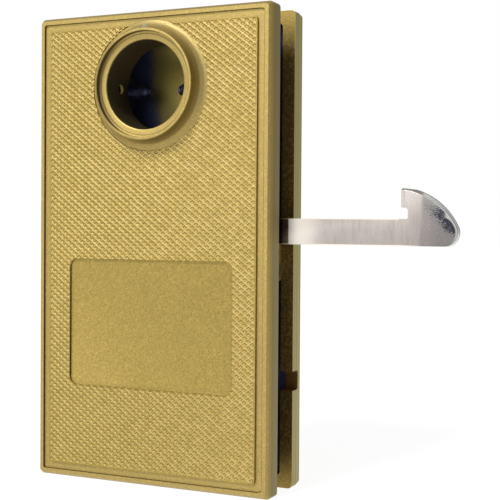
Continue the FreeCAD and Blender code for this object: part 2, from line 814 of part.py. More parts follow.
def hook_spring():
    """Compression spring between the tail and the shelf, one unbroken wire."""
    low = pivot_z + tail_height / 2 + swing_gap + spring_wire / 2
    rise = spring_length - spring_wire
    pitch = rise / spring_turns
    path = Part.Wire(coil_edges(spring_x, hook_mid_y(), low, spring_radius, pitch, spring_turns))
    start = path.Edges[0]
    tangent = start.tangentAt(start.FirstParameter)
    centre = vec(spring_x + spring_radius, hook_mid_y(), low)
    section = Part.Wire(Part.makeCircle(spring_wire / 2, centre, tangent))
    spring = path.makePipeShell([section], True, False)
    print("hook spring: gap between turns %.2f mm, volume %.2f of %.2f mm3"
          % (pitch - spring_wire, spring.Volume, math.pi * spring_wire ** 2 / 4 * path.Length))
    return spring


def spring_pin():
    """Pin pressed in the shelf that keeps the spring in place."""
    low = shelf_z - spring_pin_length
    return rod_z(spring_x, hook_mid_y(), spring_pin_radius, low, shelf_z + shelf_thickness)


def lever_bar(x0, z0, x1, z1, radius0, radius1):
    """Tapered arm between two round ends."""
    length = math.hypot(x1 - x0, z1 - z0)
    side_x, side_z = -(z1 - z0) / length, (x1 - x0) / length
    points = [vec(x0 + side_x * radius0, lever_front_y, z0 + side_z * radius0),
              vec(x1 + side_x * radius1, lever_front_y, z1 + side_z * radius1),
              vec(x1 - side_x * radius1, lever_front_y, z1 - side_z * radius1),
              vec(x0 - side_x * radius0, lever_front_y, z0 - side_z * radius0)]
    return Part.Face(Part.makePolygon(points + points[:1])).extrude(vec(0, lever_thickness, 0))


def cam_lever():
    """Bell crank: the cylinder's cam pushes its tip, and its drive pin lifts the hook's tail."""
    eye = rod_y(lever_x, lever_z, lever_eye_radius, lever_front_y, lever_rear_y)
    parts = [rod_y(drive_x, pivot_z, lever_drive_radius, lever_front_y, lever_rear_y),
             rod_y(tip_x, tip_z, lever_tip_radius, lever_front_y, lever_rear_y),
             lever_bar(lever_x, lever_z, drive_x, pivot_z, lever_waist, lever_waist),
             lever_bar(lever_x, lever_z, tip_x, tip_z, lever_waist, lever_tip_radius)]
    body = fuse_all(eye, parts)
    bushing_hole = lever_pin_radius + pin_fit + lever_bushing_wall + press_fit
    y0 = lever_front_y - past
    y1 = lever_rear_y + past
    return cut_all(body, [rod_y(lever_x, lever_z, bushing_hole, y0, y1),
                          rod_y(drive_x, pivot_z, drive_pin_radius + press_fit, y0, y1)])


def lever_bushing():
    inner = lever_pin_radius + pin_fit
    return ring_y(lever_x, lever_z, inner, inner + lever_bushing_wall,
                  lever_front_y - lever_bushing_proud, lever_rear_y + lever_bushing_proud)


def lever_washer():
    return ring_y(lever_x, lever_z, lever_pin_radius + pin_fit, lever_eye_radius, washer_y,
                  washer_y + lever_washer_thickness)


def clip_y():
    return lever_front_y - lever_bushing_proud - face_gap - clip_thickness


def lever_pivot_pin():
    """Pin pressed in the case floor, with a groove for its clip."""
    pin = rod_y(lever_x, lever_z, lever_pin_radius, clip_y() - pin_past_clip, rear_inner_y - pin_inset)
    groove = ring_y(lever_x, lever_z, lever_pin_radius - clip_groove_depth, lever_pin_radius + past,
                    clip_y() - press_fit, clip_y() + clip_thickness + press_fit)
    return pin.cut(groove)


def lever_clip():
    """Open retaining clip in the pin's groove."""
    inner = lever_pin_radius - clip_groove_depth + pin_fit
    ring = ring_y(lever_x, lever_z, inner, inner + clip_width, clip_y(), clip_y() + clip_thickness)
    mouth = box(lever_x - clip_mouth / 2, lever_x + clip_mouth / 2, clip_y() - past,
                clip_y() + clip_thickness + past, lever_z, lever_z + inner + clip_width + past)
    return ring.cut(mouth)


def drive_pin():
    """Headed pin riveted in the lever, with a shoulder behind the roller."""
    head_y = roller_front_y() - face_gap - drive_head_thickness
    shoulder_y = roller_rear_y() + face_gap
    head = rod_y(drive_x, pivot_z, drive_head_radius, head_y, head_y + drive_head_thickness)
    shaft = rod_y(drive_x, pivot_z, drive_pin_radius, head_y, lever_rear_y)
    shoulder = rod_y(drive_x, pivot_z, drive_head_radius, shoulder_y, lever_front_y - press_fit)
    return fuse_all(shaft, [head, shoulder])


def roller_front_y():
    return hook_front_y - swing_gap


def roller_rear_y():
    return hook_rear_y + swing_gap


def drive_roller():
    inner = drive_pin_radius + pin_fit
    return ring_y(drive_x, pivot_z, inner, inner + roller_wall, roller_front_y(), roller_rear_y())


def guide_front_y():
    return hook_rear_y + swing_gap


def guide_mid_y():
    return guide_front_y() + guide_deep / 2


def guide_screw_heights():
    low = pivot_z - guide_below_hook + guide_screw_from_end
    high = pivot_z + guide_above_hook - guide_screw_from_end
    return low, high


def hook_guide():
    """Lip on the gate side wall that backs the hook, with its lower end rounded."""
    block = box(case_half, case_half + guide_thickness, guide_front_y(), guide_front_y() + guide_deep,
                pivot_z - guide_below_hook, pivot_z + guide_above_hook)
    low_z = pivot_z - guide_below_hook + near
    low_ends = [edge for edge in block.Edges if edge.BoundBox.XLength > near and edge.BoundBox.ZMax < low_z
                and edge.BoundBox.YLength < near]
    block = block.makeFillet(guide_round, low_ends)
    outer_x = case_half + guide_thickness
    tools = []
    for z in guide_screw_heights():
        tools.append(rod_x(guide_mid_y(), z, guide_screw_radius + pin_fit, case_half - past, outer_x + past))
        tools.append(cone_x(guide_mid_y(), z, guide_screw_radius + press_fit, guide_screw_head + press_fit,
                            outer_x - guide_screw_sink, outer_x))
    return cut_all(block, tools)


def guide_screws():
    """Two small countersunk slotted screws that hold the hook guide."""
    outer_x = case_half + guide_thickness
    screws = []
    for z in guide_screw_heights():
        neck_x = outer_x - guide_screw_sink
        head = cone_x(guide_mid_y(), z, guide_screw_radius, guide_screw_head, neck_x, outer_x)
        shank = rod_x(guide_mid_y(), z, guide_screw_radius, outer_x - guide_screw_length, neck_x)
        slot = box(outer_x - guide_slot_depth, outer_x + past, guide_mid_y() - guide_slot_width / 2,
                   guide_mid_y() + guide_slot_width / 2, z - guide_screw_head, z + guide_screw_head)
        screws.append(head.fuse(shank).removeSplitter().cut(slot))
    return Part.makeCompound(screws)


pieces = {
    "front_cover": front_cover(),
    "rear_cover": rear_cover(),
    "lock_case": lock_case(),
    "case_lid": case_lid(),
    "cover_screws": cover_screws(),
    "lid_screws": lid_screws(),
    "set_screw_left": set_screw(-1, left_tip_from_axis),
    "set_screw_right": set_screw(1, right_tip_from_axis),
    "hook_bolt": hook_bolt(),
    "hook_bushing": hook_bushing(),
    "hook_pivot_pin": hook_pivot_pin(),
    "pivot_washer_front": front_washer(),
    "pivot_washer_rear": rear_washer(),
    "pivot_spacer": pivot_spacer(),
    "rest_stop_pin": stop_pin(rest_stop_place()),
    "travel_stop_pin": stop_pin(travel_stop_place()),
    "hook_spring": hook_spring(),
    "spring_pin": spring_pin(),
    "cam_lever": cam_lever(),
    "lever_bushing": lever_bushing(),
    "lever_washer": lever_washer(),
    "lever_pivot_pin": lever_pivot_pin(),
    "lever_clip": lever_clip(),
    "drive_pin": drive_pin(),
    "drive_roller": drive_roller(),
    "hook_guide": hook_guide(),
    "guide_screws": guide_screws(),
}

os.makedirs("parts", exist_ok=True)
for name, shape in pieces.items():
    shape.exportStep("parts/%s.step" % name)
    print(name, "solids", len(shape.Solids), "valid", shape.isValid(), "volume %.1f" % shape.Volume)
print("lever swing %.3f degrees, slot run %.3f mm" % (lever_swing(), slot_run()))
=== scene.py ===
"""The looks of a sliding gate lockset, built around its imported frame.

Blender works in metres. Sizes below are in millimetres and are turned into metres where a mesh is made.
Colours are linear red, green and blue.
"""
import math

import bmesh
import bpy
import numpy as np
from mathutils import Matrix, Vector


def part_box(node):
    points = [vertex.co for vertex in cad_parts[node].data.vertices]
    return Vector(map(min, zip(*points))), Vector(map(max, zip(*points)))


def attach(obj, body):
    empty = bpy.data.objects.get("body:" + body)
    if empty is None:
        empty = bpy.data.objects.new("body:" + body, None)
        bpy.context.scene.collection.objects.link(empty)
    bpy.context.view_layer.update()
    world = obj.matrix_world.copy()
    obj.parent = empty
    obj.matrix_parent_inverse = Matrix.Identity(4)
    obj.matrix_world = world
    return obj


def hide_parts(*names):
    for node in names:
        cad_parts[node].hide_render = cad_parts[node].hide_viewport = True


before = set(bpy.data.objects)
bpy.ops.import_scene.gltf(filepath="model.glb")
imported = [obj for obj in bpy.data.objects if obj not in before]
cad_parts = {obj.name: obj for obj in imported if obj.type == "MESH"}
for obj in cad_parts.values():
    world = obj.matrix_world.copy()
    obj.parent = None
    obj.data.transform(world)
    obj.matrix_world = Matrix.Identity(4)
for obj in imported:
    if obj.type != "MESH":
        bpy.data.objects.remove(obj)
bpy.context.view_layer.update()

MM = 0.001


def box_mm(node):
    """Lowest and highest corners of a node in millimetres."""
    low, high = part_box(node)
    return np.array(low) / MM, np.array(high) / MM


front_low, front_high = box_mm("front_cover")
screw_low, screw_high = box_mm("cover_screws")
mid_z = (front_low[2] + front_high[2]) / 2
half_width = front_high[0]
half_height = (front_high[2] - front_low[2]) / 2

# Relief of the covers, as in the solids
frame_width = 2.35
band_width = 2.55
frame_corner = 0.8
panel_corner = 1.0
base_y = 3.85
panel_y = 3.35
rear_panel_y = 29.45
rear_base_y = 28.95
rear_inner_y = 26.85
rim_wall = 4.45
rim_end_wall = 4.05
label_width = 62.2
label_height = 43.2
label_corner = 2.8
label_below_mid = 25.3
panel_half_x = half_width - frame_width - band_width
panel_half_z = half_height - frame_width - band_width

# Cover screws in their sinks
screw_head_radius = 4.6
screw_sink_margin = 0.3
screw_x = screw_high[0] - screw_head_radius
screw_z = (screw_high[2] - screw_low[2]) / 2 - screw_head_radius

# Collar and bore, from the axis out: bore, seat, land, rim and flare
bore_radius = 14.75
mouth_bevel = 0.5
seat_edge = 16.55
land_start = 16.8
rim_radius = 17.45
flare_radius = 21.8
side_hole_y = 9.15
side_hole_radius = 1.6

# Middles of the collar's bands of painted shade, and the frame's right foot, whose painted shade lies further
# in
dark_ring_radius = 17.4
rim_foot_radius = 18.9
flare_middle_radius = 20.9
right_foot_x = 40.5
right_foot_shift = 0.33
label_middle_radius = 52
tube_reach = 19.0

# Olive painted pool of light behind the bore: where it begins and is full, and where it turns lighter
light_pool_start_x = -14.5
light_pool_full_x = -7.0
lit_start_x = -10.0
lit_full_x = -2.0
light_pool_radius = 22.0

# Rear cover's rim, and the stud hole's hollow in it
rear_rim_y = 22.05
stud_y = 22.6
stud_z = mid_z - 43.5
stud_hollow = 3.15
notch_end_y = 26.35

# Diamond knurl pressed into the panels. Crest and foot are shares of the pitch, wear is one of the height.
knurl_pitch_x = 2.75
knurl_pitch_z = 2.07
knurl_depth = 0.34
knurl_crest = 0.10
knurl_foot = 0.34
knurl_wear = 0.2
worn_middle = 0.6
worn_up = 0.6
worn_right = 0.3
knurl_margin = 0.45
front_steps = 8
rear_steps = 6
plate_overlap = 0.02
plate_sink = 0.12
last_gap = 0.3
on_edge = 1e-6

# Hook: where its painted shadow of the covers, its band of their painted reflection, its pale part of painted
# light, head, nose and tip begin or end, the edges of its shank, the arcs of its nose in x and z, the widths
# of the clouded and black bands along it, and the plane of the grinding
cover_shadow_end_x = 44.1
cover_reflection_end_x = 46.0
pale_full_x = 49.0
pale_end_x = 60.0
head_start_x = 83.0
head_full_x = 90.0
nose_start_x = 92.6
tip_start_x = 97.0
shank_low = -52.2
shank_high = -43.95
nose_arc_x = 81.93
nose_arc_z = -55.43
nose_arc_radius = 21.56
tip_arc_x = 95.91
tip_arc_z = -48.14
tip_arc_radius = 4.9
cloud_width = 8.0
smut_width = 6.5
nose_ground_x = 89.7
nose_ground_y = 14.15
nose_ground_slope = 0.7 / 11.85

# Softened edges and merged points. Angles are in degrees, and the room for a bevel is a share of its width.
cast_round = 0.12
hook_round = 0.15
bevel_steps = 2
bevel_room = 2.2
least_bevel_angle = 32.0
flat_angle = 0.5
mouth_reach = 0.05
cast_merge = 0.002
screw_merge = 0.0005
least_edge = 0.0001
cast_smooth_angle = 30.0
screw_smooth_angle = 40.0

# Camera and light. The lights' places and sizes are in metres and the key's angle is in degrees.
camera_place = (189.80, -317.23, -45.88)
camera_right = (0.90475, 0.42588, 0.00699)
camera_up = (-0.01417, 0.01369, 0.99981)
camera_back = (0.42570, -0.90468, 0.01842)
camera_sensor = 36.0
camera_lens = 80.22
camera_shift = (-0.00907, -0.01019)
key_place = (-0.3, -1.0, 1.1)
key_angle = 14
key_strength = 2.6
card_place = (-0.25, -0.85, 0.35)
card_power = 3.4
card_size = 0.8
mirror_share = 0.35
faint_level = 0.17
floor_half_size = 4.0

# Gold enamel, and the tones laid over it, many of them painted shade, light, highlights and reflections
light_gold = (0.42, 0.296, 0.073)
dull_gold = (0.39, 0.275, 0.068)
green_gold = (0.225, 0.188, 0.05)
rust_gold = (0.56, 0.29, 0.085)
flake_gain = 1.8
seam_core = 0.4
pale_gold = (0.45, 0.345, 0.135)
corner_shade_brown = (0.13, 0.085, 0.02)
label_shade_brown = (0.17, 0.11, 0.025)
label_shade_olive = (0.24, 0.19, 0.06)
label_middle_olive = (0.26, 0.20, 0.05)
side_shade_gold = (0.335, 0.24, 0.066)
side_reflection_olive = (0.25, 0.198, 0.080)
wall_shade_brown = (0.16, 0.10, 0.022)
ring_shade_brown = (0.12, 0.085, 0.025)
seat_shade_olive = (0.16, 0.13, 0.04)
flare_shade_brown = (0.16, 0.11, 0.025)
flare_highlight_shade_olive = (0.20, 0.168, 0.09)
bore_brown = (0.088, 0.067, 0.034)
hole_shade_brown = (0.06, 0.045, 0.02)
lip_light_gold = (1.0, 0.8, 0.25)
pit_wall_shade_brown = (0.25, 0.18, 0.065)
pit_floor_light_gold = (0.72, 0.56, 0.21)
crest_highlight_gold = (0.75, 0.585, 0.25)
knurl_shade_olive = (0.25, 0.19, 0.04)
rim_shade_brown = (0.122, 0.076, 0.017)
rim_shade_gold = (0.26, 0.175, 0.045)
rear_side_reflection_olive = (0.39, 0.35, 0.125)
rear_edge_highlight_gold = (0.50, 0.36, 0.09)
inside_shade_navy = (0.085, 0.100, 0.215)
light_pool_dark_olive = (0.38, 0.30, 0.065)
light_pool_bright_olive = (0.53, 0.42, 0.095)
stud_shade_brown = (0.20, 0.115, 0.022)
bare_metal = (0.42, 0.44, 0.42)
bare_gold = (0.62, 0.55, 0.30)

# Chips in the front cover's paint: centre, radius and tone
chips = [((-1.5, 2.0, 19.6), 0.9, bare_metal), ((-39.5, 3.0, -10.5), 0.5, bare_metal),
         ((-5.6, 3.4, -57.9), 0.35, bare_gold)]

# Steel of the hook, and what brushing and grinding give it, with the covers' painted shadow and reflection,
# painted light on its pale part and painted highlights on its edges
steel_light = (0.455, 0.412, 0.385)
steel_dull = (0.42, 0.38, 0.355)
brush_dark = (0.31, 0.27, 0.24)
cover_reflection_brown = (0.16, 0.13, 0.10)
cover_reflection_tan = (0.24, 0.20, 0.16)
cover_shadow_black = (0.012, 0.013, 0.02)
cover_shadow_grey = (0.07, 0.07, 0.08)
edge_highlight = (0.92, 0.84, 0.72)
shank_painted_light = (0.74, 0.68, 0.61)
head_grey = (0.36, 0.325, 0.305)
fleck_white = (0.80, 0.76, 0.70)
nose_light = (0.295, 0.268, 0.255)
nose_dull = (0.22, 0.204, 0.198)
nose_cloud = (0.22, 0.21, 0.205)
smut_black = (0.035, 0.037, 0.05)
nose_rim_grey = (0.40, 0.395, 0.38)
chamfer_bright = (0.74, 0.74, 0.72)


class Signal:
    """A number that changes over a surface. Sums and products of signals add Math nodes."""

    def __init__(self, finish, socket):
        self.finish = finish
        self.socket = socket

    def math(self, operation, *values):
        return self.finish.add("ShaderNodeMath", {"operation": operation}, dict(enumerate(values)))

    def __add__(self, other):
        return self.math("ADD", self, other)

    def __radd__(self, other):
        return self.math("ADD", other, self)

    def __sub__(self, other):
        return self.math("SUBTRACT", self, other)

    def __rsub__(self, other):
        return self.math("SUBTRACT", other, self)

    def __mul__(self, other):
        return self.math("MULTIPLY", self, other)

    def __rmul__(self, other):
        return self.math("MULTIPLY", other, self)

    def absolute(self):
        return self.math("ABSOLUTE", self)

    def larger(self, other):
        return self.math("MAXIMUM", self, other)

    def between(self, low, high):
        """Rises smoothly from 0 at low to 1 at high, or falls where low is the larger."""
        values = {"Value": self, "From Min": low, "From Max": high}
        return self.finish.add("ShaderNodeMapRange", {"interpolation_type": "SMOOTHSTEP"}, values)


class Finish:
    """One procedural material: a shader, and the nodes that vary its colour, gloss and grain."""

    def __init__(self, name, **constants):
        self.material = bpy.data.materials.new(name)
        self.material.use_nodes = True
        self.nodes = self.material.node_tree.nodes
        self.links = self.material.node_tree.links
        self.nodes.clear()
        self.shader = self.nodes.new("ShaderNodeBsdfPrincipled")
        output = self.nodes.new("ShaderNodeOutputMaterial")
        self.links.new(self.shader.outputs["BSDF"], output.inputs["Surface"])
        for socket, value in constants.items():
            self.shader.inputs[socket.replace("_", " ")].default_value = value
        self.object_place = self.add("ShaderNodeTexCoord", output="Object")

    def add(self, kind, settings=None, values=None, output=0):
        """Adds a node, sets it, feeds its sockets and returns one of its outputs as a signal."""
        node = self.nodes.new(kind)
        for name, setting in (settings or {}).items():
            setattr(node, name, setting)
        for key, value in (values or {}).items():
            self.feed(node.inputs[key], value)
        return Signal(self, node.outputs[output])

    def feed(self, socket, value):
        """Links a signal to a socket, or sets the socket to a plain value."""
        if isinstance(value, Signal):
            self.links.new(value.socket, socket)
        else:
            socket.default_value = (*value, 1.0) if socket.type == "RGBA" and len(value) == 3 else value

    def set(self, **signals):
        """Feeds the shader's own sockets by name, with _ for a space."""
        for name, value in signals.items():
            self.feed(self.shader.inputs[name.replace("_", " ")], value)

    def place(self, stretch=(1, 1, 1), centre=(0, 0, 0)):
        """Place on the object in millimetres, moved and stretched."""
        location = tuple(-c * s for c, s in zip(centre, stretch))
        scale = tuple(s / MM for s in stretch)
        values = {"Vector": self.object_place, "Location": location, "Scale": scale}
        return self.add("ShaderNodeMapping", None, values)

    def noise(self, grain, detail=2.0, rough=0.5, stretch=(1, 1, 1)):
        """Cloudy pattern whose lumps are about a grain of so many millimetres across."""
        values = {"Vector": self.place(stretch), "Scale": 1 / grain, "Detail": detail, "Roughness": rough}
        return self.add("ShaderNodeTexNoise", None, values)

    def cells(self, grain):
        """Distance to the nearest of scattered points about a grain apart."""
        values = {"Vector": self.place(), "Scale": 1 / grain}
        return self.add("ShaderNodeTexVoronoi", None, values, "Distance")

    def mix(self, factor, first, second):
        """The first colour where a factor is 0, the second where it is 1."""
        return self.add("ShaderNodeMix", {"data_type": "RGBA"}, {0: factor, 6: first, 7: second}, 2)

    def bump(self, height, depth, strength):
        """Normal of a surface whose height signal of 1 stands so many millimetres out."""
        values = {"Strength": strength, "Distance": depth * MM, "Height": height}
        return self.add("ShaderNodeBump", None, values)

    def axis(self, name):
        """Place along X, Y or Z in millimetres."""
        return self.add("ShaderNodeSeparateXYZ", None, {0: self.place()}, name)

    def vector(self, operation, *values, output=0):
        return self.add("ShaderNodeVectorMath", {"operation": operation}, dict(enumerate(values)), output)

    def distance(self, centre, axes=(1, 1, 1)):
        """Distance from a place, or from a line through it along the one of the axes that is 0."""
        return self.vector("LENGTH", self.place(axes, centre), output="Value")

    def radius(self, centre=(0, 0, 0)):
        """Distance from an axis along Y."""
        return self.distance(centre, (1, 0, 1))

    def outline(self, half_x, half_z, middle_z, corner):
        """Distance out from an upright rounded rectangle. It is true outside, and inside as far in as the
        radius of a corner."""
        away = self.vector("ABSOLUTE", self.place((1, 0, 1), (0, 0, middle_z)))
        past_core = self.vector("SUBTRACT", away, (half_x - corner, 0, half_z - corner))
        outside = self.vector("MAXIMUM", past_core, (0, 0, 0))
        return self.vector("LENGTH", outside, output="Value") - corner

    def spot(self, centre, radius):
        """1 inside a ragged spot of a radius about a place, 0 outside."""
        lump = radius * 0.6
        ragged = (self.noise(lump, 3.0) - 0.5) * (radius * 2)
        return (self.distance(centre) + ragged).between(radius * 1.1, radius * 0.9)


def gold_paint(name, add_marks, chips=()):
    """Satin gold enamel over a fine cast grain: a slow drift of two golds, a fine speckle of green and rust
    grains, and sparkle from the metallic flake. The marks are the part's own, much of them painted shade and
    light, laid over the plain colour, and the chips are spots of bare metal, each with its centre, radius and
    tone."""
    finish = Finish(name, Metallic=0.72, Specular_IOR_Level=0.5)
    drift = finish.noise(24.0, 3.0)
    speckle = finish.noise(0.5, 2.0, 0.6)
    rust = finish.noise(0.6, 2.0, 0.6, (1, 1, 0.9))
    grain = finish.noise(0.7, 3.0, 0.65)
    flake_gold = tuple(min(1.0, part * flake_gain) for part in light_gold)
    colour = finish.mix(drift.between(0.35, 0.68), light_gold, dull_gold)
    colour = finish.mix(speckle.between(0.36, 0.68) * 0.8, colour, green_gold)
    colour = finish.mix(rust.between(0.52, 0.70) * 0.4, colour, rust_gold)
    colour = finish.mix(grain.between(0.52, 0.78) * 0.6, colour, flake_gold)
    colour = add_marks(finish, colour)
    rough = 0.42 + speckle * 0.16
    height = grain * 0.6 + speckle * 0.4
    for centre, radius, tone in chips:
        bare = finish.spot(centre, radius)
        colour = finish.mix(bare, colour, tone)
        rough = rough - bare * 0.1
        height = height - bare * 1.5
    finish.set(Base_Color=colour, Roughness=rough, Normal=finish.bump(height, depth=0.035, strength=0.8))
    return finish.material


def seam(distance, reach):
    """1 on a line where a distance is zero, 0 beyond its reach to either side."""
    return distance.absolute().between(reach, reach * seam_core)


def panel_outline(finish):
    """Distance out from the edge of the raised panel."""
    return finish.outline(panel_half_x, panel_half_z, mid_z, panel_corner)


def label_outline(finish):
    """Distance out from the edge of the label's recess."""
    return finish.outline(label_width / 2, label_height / 2, mid_z - label_below_mid, label_corner)


def front_marks(finish, colour):
    """Paint of the front cover: paler gold on the frame and the collar, painted brown shade in the corners of
    the frame, panel and label, the collar's and the bore's own marks, side walls darkened by painted shade
    and greenish towards the back as a painted reflection, and a label darker towards its middle."""
    across = finish.axis("X")
    deep = finish.axis("Y")
    frame_line = finish.outline(half_width - frame_width, half_height - frame_width, mid_z, frame_corner)
    panel_line = panel_outline(finish)
    label_line = label_outline(finish)
    on_collar = finish.radius().between(flare_radius, flare_radius - 0.4)
    pale = panel_line.between(0.0, 0.4).larger(on_collar)
    colour = finish.mix(pale * 0.34, colour, pale_gold)
    below_face = deep.between(panel_y - 0.35, panel_y - 0.05)
    further_in = across.between(right_foot_x, right_foot_x + 0.5) * right_foot_shift
    # Painted shade in each corner: distance from it, reach, strength and tone
    corners = [(frame_line + further_in, 0.16, 1.0, corner_shade_brown), (panel_line, 0.08, 1.0, corner_shade_brown),
               (label_line, 0.10, 0.5, label_shade_brown), (label_line + 0.75, 0.16, 0.4, label_shade_olive)]
    for line, reach, strength, tone in corners:
        colour = finish.mix(seam(line, reach) * below_face * strength, colour, tone)
    colour = collar_marks(finish, colour)
    # The label is darker towards its middle
    label_middle = finish.radius((0, 0, mid_z - label_below_mid)).between(label_middle_radius, 6)
    colour = finish.mix(label_middle * 0.26, colour, label_middle_olive)
    # Side walls: darker as painted shade, and greenish towards the back as a painted reflection
    side = across.absolute().between(half_width - 0.6, half_width - 0.3)
    colour = finish.mix(side, colour, side_shade_gold)
    colour = finish.mix(side * deep.between(4.9, 5.3), colour, side_reflection_olive)
    return bore_marks(finish, colour)


def collar_marks(finish, colour):
    """Painted shade on the collar, by distance from the bore's axis: brown in the corners at the flare's
    foot, the rim and the land, under the rim at the lower right, a wide dark ring beside the shaded seat at
    the left, and over the flare at the left and over its highlight at the upper right."""
    across = finish.axis("X")
    up = finish.axis("Z")
    from_axis = finish.radius()
    raised = finish.axis("Y").between(0.4, -0.05)
    # Painted shade in the corner at the flare's foot
    colour = finish.mix(seam(from_axis - flare_radius, 0.2) * 0.7, colour, corner_shade_brown)
    # Painted brown shade on the slope up to the land and at the rim's wall
    slope = seam(from_axis - (seat_edge + land_start) / 2, 0.17) * 0.7
    wall = seam(from_axis - rim_radius, 0.12)
    colour = finish.mix(slope.larger(wall) * raised, colour, wall_shade_brown)
    # Painted shade under the rim at the lower right
    lower_right = (across * 1.3 - up * 0.7).between(-4.0, 24.0)
    colour = finish.mix(seam(from_axis - rim_foot_radius, 0.9) * lower_right * 0.68, colour, flare_shade_brown)
    # At the left: painted shade on the outer seat, and a wide dark ring of painted shade
    left = across.between(-7.0, -16.0) * raised
    outer_seat = from_axis.between(seat_edge - 1.35, seat_edge - 0.05)
    outer_seat = outer_seat * from_axis.between(rim_radius + 0.05, rim_radius - 0.15)
    colour = finish.mix(outer_seat * left * 0.42, colour, seat_shade_olive)
    colour = finish.mix(seam(from_axis - dark_ring_radius, 0.85) * left * 0.75, colour, ring_shade_brown)
    # Painted shade over the flare at the left, and over its highlight at the upper right
    flare = seam(from_axis - flare_middle_radius, 1.5)
    colour = finish.mix(flare * across.between(-7.0, -19.0) * 0.3, colour, flare_shade_brown)
    upper_right = (across + up).between(4.0, 22.0)
    return finish.mix(flare * upper_right * 0.34, colour, flare_highlight_shade_olive)


def bore_marks(finish, colour):
    """Marks of the bore: a dark wall, and the small hole in its left wall, dark with painted shade, with a
    bright lip of painted light where light falls in near the bore.
    """
    from_axis = finish.radius()
    inside = from_axis.between(bore_radius + 0.12, bore_radius + 0.03) * finish.axis("Y").between(0.4, 0.65)
    colour = finish.mix(inside, colour, bore_brown)
    # The small hole: dark with painted shade
    from_hole = finish.distance((0, side_hole_y, 0), (0, 1, 1))
    hole = from_hole.between(side_hole_radius + 0.15, side_hole_radius + 0.05)
    hole = hole * finish.axis("X").between(-5.0, -6.0)
    hole = hole * from_axis.between(bore_radius, bore_radius + 0.1)
    hole = hole * from_axis.between(tube_reach + 1.0, tube_reach)
    colour = finish.mix(hole, colour, hole_shade_brown)
    # Its lip near the bore: painted light that falls in through the hole
    lip = from_axis.between(bore_radius + 1.3, bore_radius + 0.9)
    return finish.mix(hole * lip, colour, lip_light_gold)


def knurl_marks(crest_y, pit_y):
    """Marks of a knurled panel, all painted light and shade: crests brightened in patches as a painted
    highlight, which stops at its plain margin, pit walls browned as painted shade, pit floors brightened as
    painted light, and painted shade towards the left side and the foot."""
    def marks(finish, colour):
        across = finish.axis("X")
        height = finish.axis("Y").between(pit_y, crest_y)
        # Pit walls browned as painted shade
        walls = height.between(0.02, 0.25) * height.between(0.95, 0.6)
        colour = finish.mix(walls * 0.36, colour, pit_wall_shade_brown)
        label_line = label_outline(finish)
        # Painted shade beside the label's edge
        colour = finish.mix(label_line.between(0.30, 0.14) * 0.3, colour, label_shade_brown)
        # Pit floors brightened as painted light, inside the plain margin
        knurled = panel_outline(finish).between(-knurl_margin + 0.1, -knurl_margin - 0.1)
        knurled = knurled * label_line.between(0.3, 0.5)
        colour = finish.mix(height.between(0.06, 0.0) * knurled * 0.3, colour, pit_floor_light_gold)
        # Crests brightened in patches as a painted highlight
        crest_highlight = finish.noise(2.2, 3.0).between(0.3, 0.7) * 0.35 + 0.12
        colour = finish.mix(height.between(0.8, 1.0) * crest_highlight * knurled, colour, crest_highlight_gold)
        # Painted shade towards the foot and the left side
        foot_shade = finish.axis("Z").between(mid_z + 30, mid_z - 60) * across.between(70, -40)
        shade = (foot_shade * 0.36).larger(across.between(5.0, -44.0) * 0.22)
        return finish.mix(shade, colour, knurl_shade_olive)
    return marks


def back_marks(finish, colour):
    """Rear cover: the rim's face brown with painted shade in the gap but gold at its ends, a navy inside in
    painted shade with an olive painted pool of light, side walls greenish as a painted reflection and in dull
    bands, a painted highlight on their front edge, and painted brown shade in the hollow round the stud hole
    and its notch."""
    deep = finish.axis("Y")
    up = finish.axis("Z")
    across = finish.axis("X").absolute()
    middle = (up - mid_z).absolute().between(half_height - 3.0, half_height - 16.0)
    fine = finish.noise(0.7, 3.0, 0.65).between(0.42, 0.7)
    # The rim's face in the gap between the covers: painted shade, with gold left at its ends
    in_gap = deep.between(rear_rim_y + 0.35, rear_rim_y + 0.1) * middle
    colour = finish.mix(in_gap, colour, finish.mix(fine, rim_shade_brown, rim_shade_gold))
    # Side wall: a greenish painted reflection, in bands of tone
    side = across.between(half_width - 0.6, half_width - 0.45)
    past_rim = deep.between(rear_rim_y + 0.05, rear_rim_y + 0.45)
    colour = finish.mix(side * past_rim, colour, rear_side_reflection_olive)
    # Bands of the side wall: middle in Y, reach, strength and tone
    bands = [(23.3, 1.0, 0.8, (0.34, 0.27, 0.16)), (25.0, 0.35, 0.6, (0.16, 0.15, 0.05)),
             (28.4, 0.4, 0.7, (0.30, 0.20, 0.06))]
    for band_y, reach, strength, tone in bands:
        colour = finish.mix(side * seam(deep - band_y, reach) * strength, colour, tone)
    # A painted highlight along the edge between the side wall and the rim's face
    edge = seam(across - half_width, 0.22) * seam(deep - rear_rim_y, 0.4)
    colour = finish.mix(edge, colour, rear_edge_highlight_gold)
    # Inside the cover: painted shade, with a painted pool of light behind the bore
    inner = finish.outline(half_width - rim_wall, half_height - rim_end_wall, mid_z, 1.4).between(0.1, -0.1)
    inner = inner * deep.between(rear_inner_y + 0.3, rear_inner_y + 0.1)
    colour = finish.mix(inner, colour, inside_colour(finish))
    # Painted shade in the hollow round the stud hole and in its notch
    notch = (up - stud_z).absolute().between(stud_hollow + 0.2, stud_hollow + 0.05)
    notch = notch * deep.between(notch_end_y + 0.15, notch_end_y + 0.05)
    from_stud = finish.distance((0, stud_y, stud_z), (0, 1, 1))
    hollow = from_stud.between(stud_hollow + 0.2, stud_hollow + 0.05).larger(notch)
    hollow = hollow * finish.axis("X").between(0.0, 1.0)
    return finish.mix(hollow, colour, stud_shade_brown)


